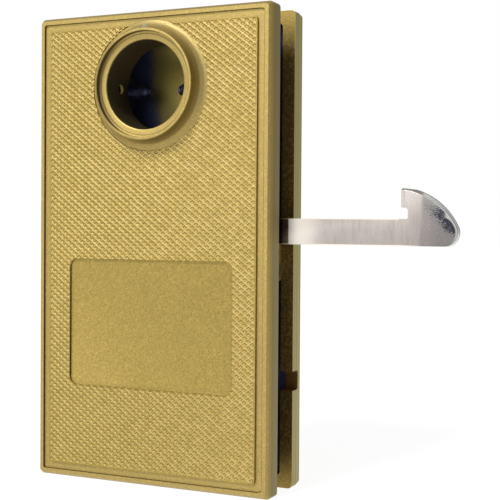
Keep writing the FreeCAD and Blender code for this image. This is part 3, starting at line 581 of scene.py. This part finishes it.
def inside_colour(finish):
    """Navy painted shade inside the rear cover. Behind the bore an olive painted pool of light begins left of
    its middle and is fullest at the right, but thin towards the foot."""
    across = finish.axis("X")
    below = (finish.axis("Z") * -1.0).larger(-2.0)
    near_bore = finish.radius().between(light_pool_radius + 8.0, light_pool_radius)
    # The painted pool of light behind the bore, thinner towards the foot
    dust_and_light_pool = across - below * 0.25 + finish.noise(5.0, 3.0) * 3.0
    dust_and_light_pool = dust_and_light_pool.between(light_pool_start_x, light_pool_full_x) * near_bore
    dust_and_light_pool = dust_and_light_pool * 0.85 + (finish.noise(0.5, 3.0, 0.7) - 0.5) * 1.1 * dust_and_light_pool.between(0.0, 0.5)
    # Its lighter part further right
    lit = (across - below * 0.7).between(lit_start_x, lit_full_x) * near_bore
    olive = finish.mix(lit, light_pool_dark_olive, light_pool_bright_olive)
    return finish.mix(dust_and_light_pool.between(0.0, 1.0), inside_shade_navy, olive)


def dark_case_paint():
    """Blue black primer, rough and dusty, with a brown drift."""
    finish = Finish("case_primer", Metallic=0.1)
    dust_and_light_pool = finish.noise(9.0, 4.0)
    grain = finish.noise(0.6, 3.0, 0.6)
    colour = finish.mix(dust_and_light_pool.between(0.4, 0.75), (0.012, 0.014, 0.028), (0.035, 0.028, 0.018))
    normal = finish.bump(grain, depth=0.04, strength=0.7)
    finish.set(Base_Color=colour, Roughness=0.42 + grain * 0.25, Normal=normal)
    return finish.material


def plated_steel(name, colour, cloud, gloss=0.32):
    """Plated steel: cloudy tone, fine pickled grain and a few fine scratches."""
    finish = Finish(name, Metallic=1.0)
    clouds = finish.noise(3.5, 3.0)
    grain = finish.noise(0.5, 2.0, 0.6)
    scratch = finish.noise(0.25, 2.0, 0.5, (0.15, 1, 1))
    tone = finish.mix(clouds.between(0.35, 0.7), colour, cloud)
    rough = gloss + grain * 0.14 + scratch.between(0.6, 0.8) * 0.1
    normal = finish.bump(grain + scratch * 0.5, depth=0.006, strength=0.6)
    finish.set(Base_Color=tone, Roughness=rough, Normal=normal)
    return finish.material


def turned_steel(name, colour, gloss=0.22):
    """Ground and turned steel, with fine rings of the tool along Y."""
    finish = Finish(name, Metallic=1.0)
    rings = finish.noise(0.22, 1.0, 0.5, (0.05, 1, 0.05))
    clouds = finish.noise(2.5, 2.0)
    tone = finish.mix(clouds.between(0.4, 0.7) * 0.4, colour, tuple(part * 0.72 for part in colour))
    normal = finish.bump(rings, depth=0.005, strength=0.7)
    finish.set(Base_Color=tone, Roughness=gloss + rings * 0.18, Normal=normal)
    return finish.material


def black_oxide():
    """Black oxide screw steel with a blue cast, in clouds of two tones."""
    finish = Finish("black_oxide", Metallic=0.75)
    clouds = finish.noise(1.6, 3.0)
    grain = finish.noise(0.3, 2.0)
    tone = finish.mix(clouds.between(0.4, 0.7), (0.032, 0.038, 0.080), (0.060, 0.068, 0.110))
    normal = finish.bump(grain, depth=0.008, strength=0.7)
    finish.set(Base_Color=tone, Roughness=0.30 + grain * 0.2, Normal=normal)
    return finish.material


def bronze_bush():
    """Sintered bronze: reddish gold with fine dark pores."""
    finish = Finish("sintered_bronze", Metallic=1.0)
    pores = finish.cells(0.35)
    clouds = finish.noise(2.2, 3.0)
    tone = finish.mix(clouds.between(0.35, 0.7), (0.50, 0.31, 0.13), (0.40, 0.26, 0.12))
    tone = finish.mix(pores.between(0.16, 0.05), tone, (0.10, 0.06, 0.03))
    normal = finish.bump(pores, depth=0.02, strength=0.5)
    finish.set(Base_Color=tone, Roughness=0.38 + clouds * 0.15, Normal=normal)
    return finish.material


def nylon():
    """Natural nylon: milky, faintly mottled, soft gloss."""
    finish = Finish("natural_nylon", Roughness=0.38, Subsurface_Weight=0.1)
    finish.shader.inputs["Subsurface Radius"].default_value = (0.6 * MM, 0.5 * MM, 0.4 * MM)
    clouds = finish.noise(1.4, 3.0)
    tone = finish.mix(clouds, (0.72, 0.69, 0.60), (0.60, 0.57, 0.49))
    finish.set(Base_Color=tone, Normal=finish.bump(finish.noise(0.4, 2.0), depth=0.01, strength=0.5))
    return finish.material


def hook_steel():
    """Stainless steel of the hook: a brushed shank, and a ground nose that is duller and more mottled.
    Bright flecks lie over both."""
    finish = Finish("hook_steel", Metallic=1.0)
    across = finish.axis("X")
    brush = finish.noise(0.55, 3.0, 0.6, (1, 1, 0.07))
    mottle = finish.noise(0.55, 4.0, 0.75)
    # Where the shank leaves the lock: a band of the covers' painted reflection
    brown = (across + mottle * 0.4).between(cover_reflection_end_x + 0.3, cover_reflection_end_x)
    # The pale part beyond the band: painted light, also less metallic
    pale = across.between(pale_end_x, pale_full_x) * brown.between(1.0, 0.0)
    nose = (across - finish.axis("Z") * 0.06 + mottle).between(nose_start_x, nose_start_x + 1.6)
    shank = shank_colour(finish, brush, mottle, brown, pale)
    colour = finish.mix(nose, shank, nose_colour(finish, mottle))
    colour = finish.mix(finish.cells(0.8).between(0.16, 0.06) * 0.6, colour, fleck_white)
    rough = 0.30 + brush * 0.14 + nose * 0.08
    normal = finish.bump(brush * 0.7 + mottle * nose * 0.8, depth=0.012, strength=0.6)
    finish.set(Base_Color=colour, Roughness=rough, Normal=normal, Metallic=1 - pale * 0.8)
    return finish.material


def shank_colour(finish, brush, mottle, brown, pale):
    """Brushed shank: darker brush lines, where it leaves the lock the painted shadow and reflection of the
    covers, black and then brown, a pale part of painted light beside them, painted highlights on its edges
    and a darker head."""
    across = finish.axis("X")
    up = finish.axis("Z")
    clouds = finish.noise(5.0, 3.0)
    colour = finish.mix(clouds.between(0.3, 0.75), steel_light, steel_dull)
    colour = finish.mix(brush.between(0.48, 0.75) * 0.75, colour, brush_dark)
    # The covers' painted reflection in brown, and next to them their painted shadow and reflection in black
    colour = finish.mix(brown, colour, finish.mix(mottle.between(0.4, 0.6), cover_reflection_brown, cover_reflection_tan))
    cover_shadow = (across + mottle * 1.2).between(cover_shadow_end_x + 0.6, cover_shadow_end_x)
    colour = finish.mix(cover_shadow, colour, finish.mix(mottle.between(0.45, 0.6), cover_shadow_black, cover_shadow_grey))
    # Painted highlights along the shank's lower edge and, short of the head, its upper edge
    top_edge = seam(up - shank_high, 0.22) * across.between(head_start_x + 0.4, head_start_x - 0.2) * 0.6
    edges = seam(up - shank_low, 0.28).larger(top_edge)
    colour = finish.mix(edges, colour, edge_highlight)
    # The pale part: painted light
    colour = finish.mix(pale, colour, shank_painted_light)
    return finish.mix(across.between(head_start_x, head_full_x) * 0.7, colour, head_grey)


def nose_colour(finish, mottle):
    """Ground nose: it goes black in mottled patches in a band along its long arc, and has a thin bright rim
    and a bright chamfer behind the ground face."""
    across = finish.axis("X")
    up = finish.axis("Z")
    from_arc = nose_arc_radius - finish.radius((nose_arc_x, 0, nose_arc_z))
    ground_y = nose_ground_y + (across - nose_ground_x) * nose_ground_slope
    behind_face = finish.axis("Y") - ground_y
    chamfer = behind_face.between(0.10, 0.30) * behind_face.between(1.6, 1.2)
    cloud = from_arc.between(cloud_width, 2.0) * up.between(-54.0, -46.0)
    smut = from_arc.between(smut_width, 1.0) * up.between(-50.5, -47.0) * up.between(-37.0, -43.5)
    fine = finish.noise(0.3, 3.0, 0.7)
    dark = (smut * 1.3 + (mottle - 0.5) * 2.6 + (fine - 0.5) * 3.2).between(0.6, 0.95)
    colour = finish.mix(across.between(head_full_x, tip_start_x), nose_light, nose_dull)
    colour = finish.mix(cloud, colour, nose_cloud)
    colour = finish.mix(dark, colour, smut_black)
    past_tip = finish.radius((tip_arc_x, 0, tip_arc_z)).between(tip_arc_radius, tip_arc_radius + 0.3)
    past_tip = past_tip * across.between(tip_start_x, tip_start_x + 1.5)
    rim = from_arc.between(1.0, 0.6).larger(past_tip)
    colour = finish.mix(rim, colour, nose_rim_grey)
    return finish.mix(chamfer, colour, chamfer_bright)


def floor_paint():
    """Plain pale studio floor that glows a little, as a light table does, with a trace of unevenness."""
    finish = Finish("studio_floor", Roughness=0.9, Specular_IOR_Level=0.1, Emission_Strength=0.93)
    finish.shader.inputs["Emission Color"].default_value = (1, 1, 1, 1)
    cloud = finish.noise(180.0, 2.0)
    finish.set(Base_Color=finish.mix(cloud, (0.17, 0.17, 0.17), (0.19, 0.19, 0.19)))
    return finish.material


def new_piece(name, mesh, material, body, slot, *replaced):
    """Puts a mesh into the scene as one piece that rides on a body."""
    piece = bpy.data.objects.new(name, mesh)
    bpy.context.scene.collection.objects.link(piece)
    mesh.materials.clear()
    mesh.materials.append(material)
    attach(piece, body)
    if replaced:
        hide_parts(*replaced)
    return piece


def mesh_from(name, points, faces):
    """Mesh from an array of points in millimetres and arrays or lists of faces."""
    mesh = bpy.data.meshes.new(name)
    mesh.from_pydata(np.asarray(points) * MM, [], np.asarray(faces).tolist())
    mesh.update()
    return mesh


def grid_faces(rows, columns, around):
    """Quads of a grid of rows and columns. The columns close on themselves where around is true."""
    row = np.arange(rows - 1)[:, None]
    column = np.arange(columns if around else columns - 1)[None, :]
    after = (column + 1) % columns
    first_row = row * columns
    next_row = first_row + columns
    corners = [first_row + column, first_row + after, next_row + after, next_row + column]
    return np.stack(np.broadcast_arrays(*corners), axis=-1).reshape(-1, 4)


def ridge_profile(count):
    """Height of a ridge: 1 on its flat crest about each whole count, falling straight to 0 at its foot."""
    away = np.abs(count - np.round(count))
    return np.clip((knurl_foot - away) / (knurl_foot - knurl_crest), 0, 1)


def knurl_height(x, z):
    """Height of the diamond knurl from 0 in a pit to 1 on a crest. Two families of ridges lean either way:
    x over its pitch plus or minus z over its pitch counts the ridges of each, and the higher of the two
    stands. The rising family is lower towards the upper left, where the falling one reads as single
    strokes. Within the margin of the panel's outline the plate stays whole, at crest height."""
    worn = np.clip(worn_middle + worn_up * z / panel_half_z - worn_right * x / panel_half_x, 0, 1)
    falling = ridge_profile(x / knurl_pitch_x + z / knurl_pitch_z)
    rising = ridge_profile(x / knurl_pitch_x - z / knurl_pitch_z) * (1 - knurl_wear * worn)
    inside = np.minimum(panel_half_x - np.abs(x), panel_half_z - np.abs(z))
    return np.where(inside < knurl_margin, 1.0, np.maximum(falling, rising))


def outline_distance(x, z, half_x, half_z, corner):
    """Distance in from a rounded rectangle: positive inside, negative outside."""
    out_x = np.abs(x) - (half_x - corner)
    out_z = np.abs(z) - (half_z - corner)
    outside = np.hypot(np.maximum(out_x, 0), np.maximum(out_z, 0))
    return corner - outside - np.minimum(np.maximum(out_x, out_z), 0)


def cut_sheet(points, triangles, keep):
    """Cuts a sheet of triangles where a value of its points is zero and keeps the positive side. An edge is
    cut in proportion to the values at its ends. A triangle with one corner kept shrinks to that corner, and
    one with two corners kept becomes two triangles."""
    inside = keep > 0
    kept = inside[triangles].sum(axis=1)
    lone = np.where((kept == 1)[:, None], inside[triangles], ~inside[triangles]).argmax(axis=1)
    order = (lone[:, None] + np.arange(3)) % 3
    turned = np.take_along_axis(triangles, order, axis=1)
    one = turned[kept == 1]
    two = turned[kept == 2]
    crossed = np.concatenate([one[:, [0, 1]], one[:, [0, 2]], two[:, [0, 1]], two[:, [0, 2]]])
    edges, place = np.unique(np.sort(crossed, axis=1), axis=0, return_inverse=True)
    share = keep[edges[:, 0]] / (keep[edges[:, 0]] - keep[edges[:, 1]])
    added = points[edges[:, 0]] + share[:, None] * (points[edges[:, 1]] - points[edges[:, 0]])
    place = place.reshape(-1) + len(points)
    one_b, one_c, two_b, two_c = np.split(place, np.cumsum([len(one), len(one), len(two)]))
    parts = [triangles[kept == 3], np.stack([one[:, 0], one_b, one_c], axis=1),
             np.stack([two_b, two[:, 1], two[:, 2]], axis=1), np.stack([two_b, two[:, 2], two_c], axis=1)]
    return drop_unused(np.concatenate([points, added]), np.concatenate(parts))


def drop_unused(points, triangles):
    """Leaves out the points that no triangle has."""
    used, renumbered = np.unique(triangles, return_inverse=True)
    return points[used], renumbered.reshape(triangles.shape)


def knurl_sheet(steps):
    """Flat sheet of triangles over the panel, in x and z. Its lines are whole parts of the knurl's pitch,
    so that crests fall on points, and each quad is cut along the diagonal that follows its nearest
    ridge."""
    step_x = knurl_pitch_x / steps
    step_z = knurl_pitch_z / steps
    count_x = int(panel_half_x / step_x - last_gap)
    count_z = int(panel_half_z / step_z - last_gap)
    edge_x = panel_half_x + plate_overlap
    edge_z = panel_half_z + plate_overlap
    x = np.concatenate([[-edge_x], np.arange(-count_x, count_x + 1) * step_x, [edge_x]])
    z = np.concatenate([[-edge_z], np.arange(-count_z, count_z + 1) * step_z, [edge_z]])
    grid_x, grid_z = np.meshgrid(x, z)
    quads = grid_faces(len(z), len(x), False)
    middle_x = grid_x.ravel()[quads].mean(axis=1) / knurl_pitch_x
    middle_z = grid_z.ravel()[quads].mean(axis=1) / knurl_pitch_z
    falling = np.abs(middle_x + middle_z - np.round(middle_x + middle_z))
    rising = np.abs(middle_x - middle_z - np.round(middle_x - middle_z))
    down = quads[falling < rising]
    up = quads[falling >= rising]
    triangles = np.concatenate([down[:, [0, 1, 3]], down[:, [1, 2, 3]], up[:, [0, 1, 2]], up[:, [0, 2, 3]]])
    return np.stack([grid_x.ravel(), np.zeros(grid_x.size), grid_z.ravel()], axis=1), triangles


def open_edges(triangles, count):
    """Edges that only one of a sheet's triangles has, in that triangle's direction. Count is the
    points'."""
    edges = np.concatenate([triangles[:, [0, 1]], triangles[:, [1, 2]], triangles[:, [2, 0]]])
    edges = edges.astype(np.int64)
    forward = edges[:, 0] * count + edges[:, 1]
    reverse = edges[:, 1] * count + edges[:, 0]
    return edges[~np.isin(forward, reverse)]


def close_back(work, edges, normal, openings):
    """Fills the plane between rings of edges with triangles and takes out those over the openings."""
    filled = bmesh.ops.triangle_fill(work, use_beauty=True, use_dissolve=False, edges=edges, normal=normal)
    closed = [face for face in filled["geom"] if isinstance(face, bmesh.types.BMFace)]
    middles = np.array([face.calc_center_median() for face in closed]) / MM
    over_opening = np.zeros(len(closed), bool)
    for opening in openings:
        over_opening |= opening(middles[:, 0], middles[:, 2] - mid_z) < 0
    extra = [face for face, over in zip(closed, over_opening) if over]
    bmesh.ops.delete(work, geom=extra, context="FACES_ONLY")


def knurled_plate(name, steps, floor_y, outward, back_y, openings):
    """Closed plate over a cover's panel. Its face is the knurl, cut to the panel's rounded outline and to
    the openings, its walls go straight back from every cut edge, and its back is flat inside the cover."""
    points, triangles = knurl_sheet(steps)
    points[:, 1] = floor_y + outward * knurl_depth * knurl_height(points[:, 0], points[:, 2])
    half_x = panel_half_x + plate_overlap
    half_z = panel_half_z + plate_overlap
    edge = outline_distance(points[:, 0], points[:, 2], half_x, half_z, panel_corner)
    points, triangles = cut_sheet(points, triangles, edge + on_edge)
    for opening in openings:
        points, triangles = cut_sheet(points, triangles, opening(points[:, 0], points[:, 2]))
    rim = open_edges(triangles, len(points))
    rim_points, rim_place = np.unique(rim, return_inverse=True)
    back = points[rim_points].copy()
    back[:, 1] = back_y
    rim_back = rim_place.reshape(rim.shape) + len(points)
    walls = np.stack([rim[:, 1], rim[:, 0], rim_back[:, 0], rim_back[:, 1]], axis=1)
    every = np.concatenate([points, back])
    every[:, 2] += mid_z
    mesh = mesh_from(name, every, triangles)
    work = bmesh.new()
    work.from_mesh(mesh)
    work.verts.ensure_lookup_table()
    for wall in walls.tolist():
        work.faces.new([work.verts[corner] for corner in wall])
    back_edges = [edge for edge in work.edges if all(vert.index >= len(points) for vert in edge.verts)]
    close_back(work, back_edges, (0, -outward, 0), openings)
    bmesh.ops.recalc_face_normals(work, faces=work.faces)
    work.to_mesh(mesh)
    work.free()
    return mesh


def label_keep(x, z):
    """Positive outside the label's recess."""
    return -outline_distance(x, z + label_below_mid, label_width / 2, label_height / 2, label_corner)


def flare_keep(x, z):
    """Positive outside the collar's flare."""
    return np.hypot(x, z + mid_z) - flare_radius


def screw_keep(x, z):
    """Positive outside the sinks of the four cover screws."""
    return np.hypot(np.abs(x) - screw_x, np.abs(z) - screw_z) - screw_head_radius - screw_sink_margin


def bevel_edges(work, edges, width):
    """Rounds some edges of a bmesh by a width in millimetres."""
    bmesh.ops.bevel(work, geom=edges, offset=width * MM, offset_type="OFFSET", segments=bevel_steps,
                    profile=0.5, affect="EDGES", clamp_overlap=True, loop_slide=True)


def softened(node, width, mouth=0.0):
    """Copy of a node's solid with its long sharp edges rounded. Doubled points are merged and flat faces
    joined before each edge that turns by more than the least angle is bevelled, where it and the edges that
    it meets are long enough for the width. A mouth is a wider bevel, of the ring round the bore's open
    end."""
    mesh = bpy.data.meshes.new(node + "_softened")
    work = bmesh.new()
    work.from_mesh(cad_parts[node].data)
    bmesh.ops.remove_doubles(work, verts=work.verts, dist=cast_merge * MM)
    bmesh.ops.dissolve_limit(work, angle_limit=math.radians(flat_angle), verts=work.verts, edges=work.edges)
    if mouth:
        ring = {vert for vert in work.verts if on_mouth(vert.co / MM)}
        bevel_edges(work, [edge for edge in work.edges if ring.issuperset(edge.verts)], mouth)
    limit = math.radians(least_bevel_angle)
    least_length = bevel_room * width * MM
    roomy = {vert for vert in work.verts
             if min(edge.calc_length() for edge in vert.link_edges) > least_length}
    sharp = [edge for edge in work.edges
             if edge.calc_face_angle(0.0) > limit and roomy.issuperset(edge.verts)]
    bevel_edges(work, sharp, width)
    work.to_mesh(mesh)
    work.free()
    if "custom_normal" in mesh.attributes:
        mesh.attributes.remove(mesh.attributes["custom_normal"])
    mesh.shade_smooth()
    mesh.set_sharp_from_angle(angle=math.radians(cast_smooth_angle))
    return mesh


def on_mouth(place):
    """Whether a place in millimetres lies on the edge of the bore, in the plane of the seat."""
    return abs(place.y) < mouth_reach and abs(math.hypot(place.x, place.z) - bore_radius) < mouth_reach


def screw_body(outer_end, inner_end, axis_y, axis_z):
    """Socket set screw along X. Each ring of the surface is a radius and a place along the screw for every
    angle: out over the floor of the hexagon socket, up its walls, along the thread and round the turned
    point to the axis. The thread's radius follows a triangle wave with flat crests, of the place over the
    pitch less the share of a turn, and fades to half its depth within a pitch of its ends."""
    radius = 2.5
    pitch = 0.8
    thread_depth = 0.42
    thread_flat = 0.125
    socket_flats = 2.5
    socket_depth = 2.6
    socket_lead = 0.1
    lead_depth = 0.15
    outer_chamfer = 0.45
    inner_chamfer = 0.5
    chamfer_length = 0.5
    point_radius = 1.7
    point_length = 1.0
    point_round = 0.2
    around = 48
    per_pitch = 8
    angle = np.arange(around) * 2 * np.pi / around
    length = abs(inner_end - outer_end)
    sixth = np.pi / 3
    hexagon = socket_flats / 2 / np.cos((angle + sixth / 2) % sixth - sixth / 2)
    thread_end = length - point_length
    count = int((thread_end - 2 * chamfer_length) / pitch * per_pitch)
    along = np.linspace(chamfer_length, thread_end - chamfer_length, count)
    phase = (along[:, None] / pitch - angle[None, :] / (2 * np.pi)) % 1.0
    wave = np.clip(np.abs(phase * 2 - 1) * (1 + 2 * thread_flat) - thread_flat, 0, 1)
    from_end = np.minimum(along - chamfer_length, thread_end - chamfer_length - along)
    fade = np.clip(from_end / pitch, 0, 1)[:, None]
    thread = radius - thread_depth * (1 - wave) * fade - thread_depth * 0.5 * (1 - fade)
    rings = [(0, socket_depth), (hexagon * 0.5, socket_depth), (hexagon, socket_depth),
             (hexagon, lead_depth), (hexagon + socket_lead, 0), (radius - outer_chamfer, 0)]
    rings += list(zip(thread, along))
    rings += [(radius - inner_chamfer, thread_end), (point_radius, thread_end),
              (point_radius, length - point_round), (point_radius - point_round, length), (0, length)]
    reach = np.array([np.broadcast_to(ring[0], around) for ring in rings])
    place = np.array([np.broadcast_to(ring[1], around) for ring in rings])
    way = 1 if inner_end > outer_end else -1
    x = outer_end + way * place
    y = axis_y + reach * np.cos(angle)
    z = axis_z + reach * np.sin(angle)
    return np.stack([x, y, z], axis=-1).reshape(-1, 3), grid_faces(len(rings), around, True)


def closed_mesh(name, points, faces):
    """Mesh of a closed surface: doubled points merged, normals turned outwards, smooth between sharp
    edges."""
    mesh = mesh_from(name, points, faces)
    work = bmesh.new()
    work.from_mesh(mesh)
    bmesh.ops.remove_doubles(work, verts=work.verts, dist=screw_merge * MM)
    bmesh.ops.dissolve_degenerate(work, dist=least_edge * MM, edges=work.edges)
    bmesh.ops.recalc_face_normals(work, faces=work.faces)
    work.to_mesh(mesh)
    work.free()
    mesh.shade_smooth()
    mesh.set_sharp_from_angle(angle=math.radians(screw_smooth_angle))
    return mesh


def dress(node, material):
    """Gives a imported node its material."""
    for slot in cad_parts[node].material_slots:
        slot.material = material


def make_camera():
    """Camera at the photo's place, angle and focal length, with its axis shifted as in the photo."""
    data = bpy.data.cameras.new("photo_camera")
    data.sensor_width = camera_sensor
    data.lens = camera_lens
    data.shift_x, data.shift_y = camera_shift
    data.clip_start = 0.01
    camera = bpy.data.objects.new("photo_camera", data)
    bpy.context.scene.collection.objects.link(camera)
    turn = Matrix((camera_right, camera_up, camera_back)).transposed().to_4x4()
    camera.matrix_world = Matrix.Translation([v * MM for v in camera_place]) @ turn
    bpy.context.scene.camera = camera


def make_light(name, kind, place, power, **settings):
    """Lamp at a place in metres, aimed at the frame's origin."""
    data = bpy.data.lights.new(name, kind)
    data.energy = power
    for key, value in settings.items():
        setattr(data, key, value)
    lamp = bpy.data.objects.new(name, data)
    bpy.context.scene.collection.objects.link(lamp)
    lamp.location = place
    lamp.rotation_euler = (-Vector(place)).to_track_quat("-Z", "Y").to_euler()


def make_surroundings():
    """Surroundings that the camera sees white, a mirror sees in part, and that light the object faintly.
    Their strength rises from the faint level to 1 with the ray's share: 1 for the camera's rays, less for a
    mirror's."""
    world = bpy.data.worlds.new("studio")
    world.use_nodes = True
    bpy.context.scene.world = world
    nodes = world.node_tree.nodes
    links = world.node_tree.links
    back = nodes["Background"]
    back.inputs["Color"].default_value = (1, 1, 1, 1)
    path = nodes.new("ShaderNodeLightPath")
    glossy = nodes.new("ShaderNodeMath")
    glossy.operation = "MULTIPLY"
    glossy.inputs[1].default_value = mirror_share
    links.new(path.outputs["Is Glossy Ray"], glossy.inputs[0])
    seen = nodes.new("ShaderNodeMath")
    seen.operation = "ADD"
    links.new(path.outputs["Is Camera Ray"], seen.inputs[0])
    links.new(glossy.outputs[0], seen.inputs[1])
    level = nodes.new("ShaderNodeMapRange")
    level.inputs["To Min"].default_value = faint_level
    level.inputs["To Max"].default_value = 1.0
    links.new(seen.outputs[0], level.inputs["Value"])
    links.new(level.outputs[0], back.inputs["Strength"])


def make_studio():
    """White surroundings, a pale floor under the covers' lower edges and a broad soft key from the upper
    left."""
    scene = bpy.context.scene
    scene.view_settings.view_transform = "Standard"
    make_surroundings()
    floor_z = front_low[2] * MM
    size = floor_half_size
    corners = [(-size, -size, floor_z), (size, -size, floor_z), (size, size, floor_z),
               (-size, size, floor_z)]
    mesh = bpy.data.meshes.new("studio_floor")
    mesh.from_pydata(corners, [], [(0, 1, 2, 3)])
    mesh.materials.append(floor_paint())
    floor = bpy.data.objects.new("studio_floor", mesh)
    scene.collection.objects.link(floor)
    make_light("key", "SUN", key_place, key_strength, angle=math.radians(key_angle))
    make_light("card", "AREA", card_place, card_power, size=card_size)


gold = gold_paint("gold_paint_finish", front_marks, chips)
gold_back = gold_paint("gold_back_finish", back_marks)
gold_knurl = gold_paint("gold_knurl_finish", knurl_marks(panel_y - knurl_depth, panel_y))
gold_back_knurl = gold_paint("gold_back_knurl_finish",
                             knurl_marks(rear_panel_y + knurl_depth, rear_panel_y))
hook_finish = hook_steel()
screw_finish = black_oxide()
dressed = [
    (gold, ["hook_guide"]),
    (dark_case_paint(), ["lock_case"]),
    (screw_finish, ["set_screw_left", "set_screw_right"]),
    (plated_steel("lid_zinc", (0.52, 0.51, 0.47), (0.42, 0.41, 0.38)), ["case_lid"]),
    (plated_steel("screw_zinc", (0.60, 0.57, 0.48), (0.50, 0.48, 0.42), 0.26),
     ["cover_screws", "lid_screws", "guide_screws"]),
    (plated_steel("washer_zinc", (0.56, 0.55, 0.52), (0.45, 0.44, 0.42)),
     ["pivot_washer_front", "pivot_washer_rear", "pivot_spacer", "lever_washer"]),
    (plated_steel("lever_zinc", (0.60, 0.54, 0.36), (0.48, 0.45, 0.33), 0.3), ["cam_lever"]),
    (turned_steel("pin_steel", (0.58, 0.58, 0.59)),
     ["hook_pivot_pin", "rest_stop_pin", "travel_stop_pin", "spring_pin", "lever_pivot_pin", "drive_pin"]),
    (turned_steel("spring_wire", (0.40, 0.40, 0.42), 0.28), ["hook_spring", "lever_clip"]),
    (bronze_bush(), ["hook_bushing", "lever_bushing"]),
    (nylon(), ["drive_roller"]),
]
for material, nodes in dressed:
    for node in nodes:
        dress(node, material)

front_cast = softened("front_cover", cast_round, mouth_bevel)
rear_cast = softened("rear_cover", cast_round)
ground_hook = softened("hook_bolt", hook_round)
new_piece("front_cover_cast", front_cast, gold, "housing", "gold_paint", "front_cover")
new_piece("rear_cover_cast", rear_cast, gold_back, "housing", "gold_paint_back", "rear_cover")
new_piece("hook_bolt_ground", ground_hook, hook_finish, "hook", "hook_stainless", "hook_bolt")
front_knurl = knurled_plate("front_knurl", front_steps, panel_y - plate_overlap / 2, -1, base_y + plate_sink,
                            [label_keep, flare_keep])
rear_knurl = knurled_plate("rear_knurl", rear_steps, rear_panel_y + plate_overlap / 2, 1,
                           rear_base_y - plate_sink, [label_keep, screw_keep])
new_piece("front_knurl", front_knurl, gold_knurl, "housing", "gold_paint")
new_piece("rear_knurl", rear_knurl, gold_back_knurl, "housing", "gold_paint_back")
for side, outer, inner in (("left", 0, 1), ("right", 1, 0)):
    node = "set_screw_" + side
    name = "threaded_screw_" + side
    ends = box_mm(node)
    middle = (ends[0] + ends[1]) / 2
    points, faces = screw_body(ends[outer][0], ends[inner][0], middle[1], middle[2])
    new_piece(name, closed_mesh(name, points, faces), screw_finish, "housing", "set_screw_black", node)

make_studio()
make_camera()
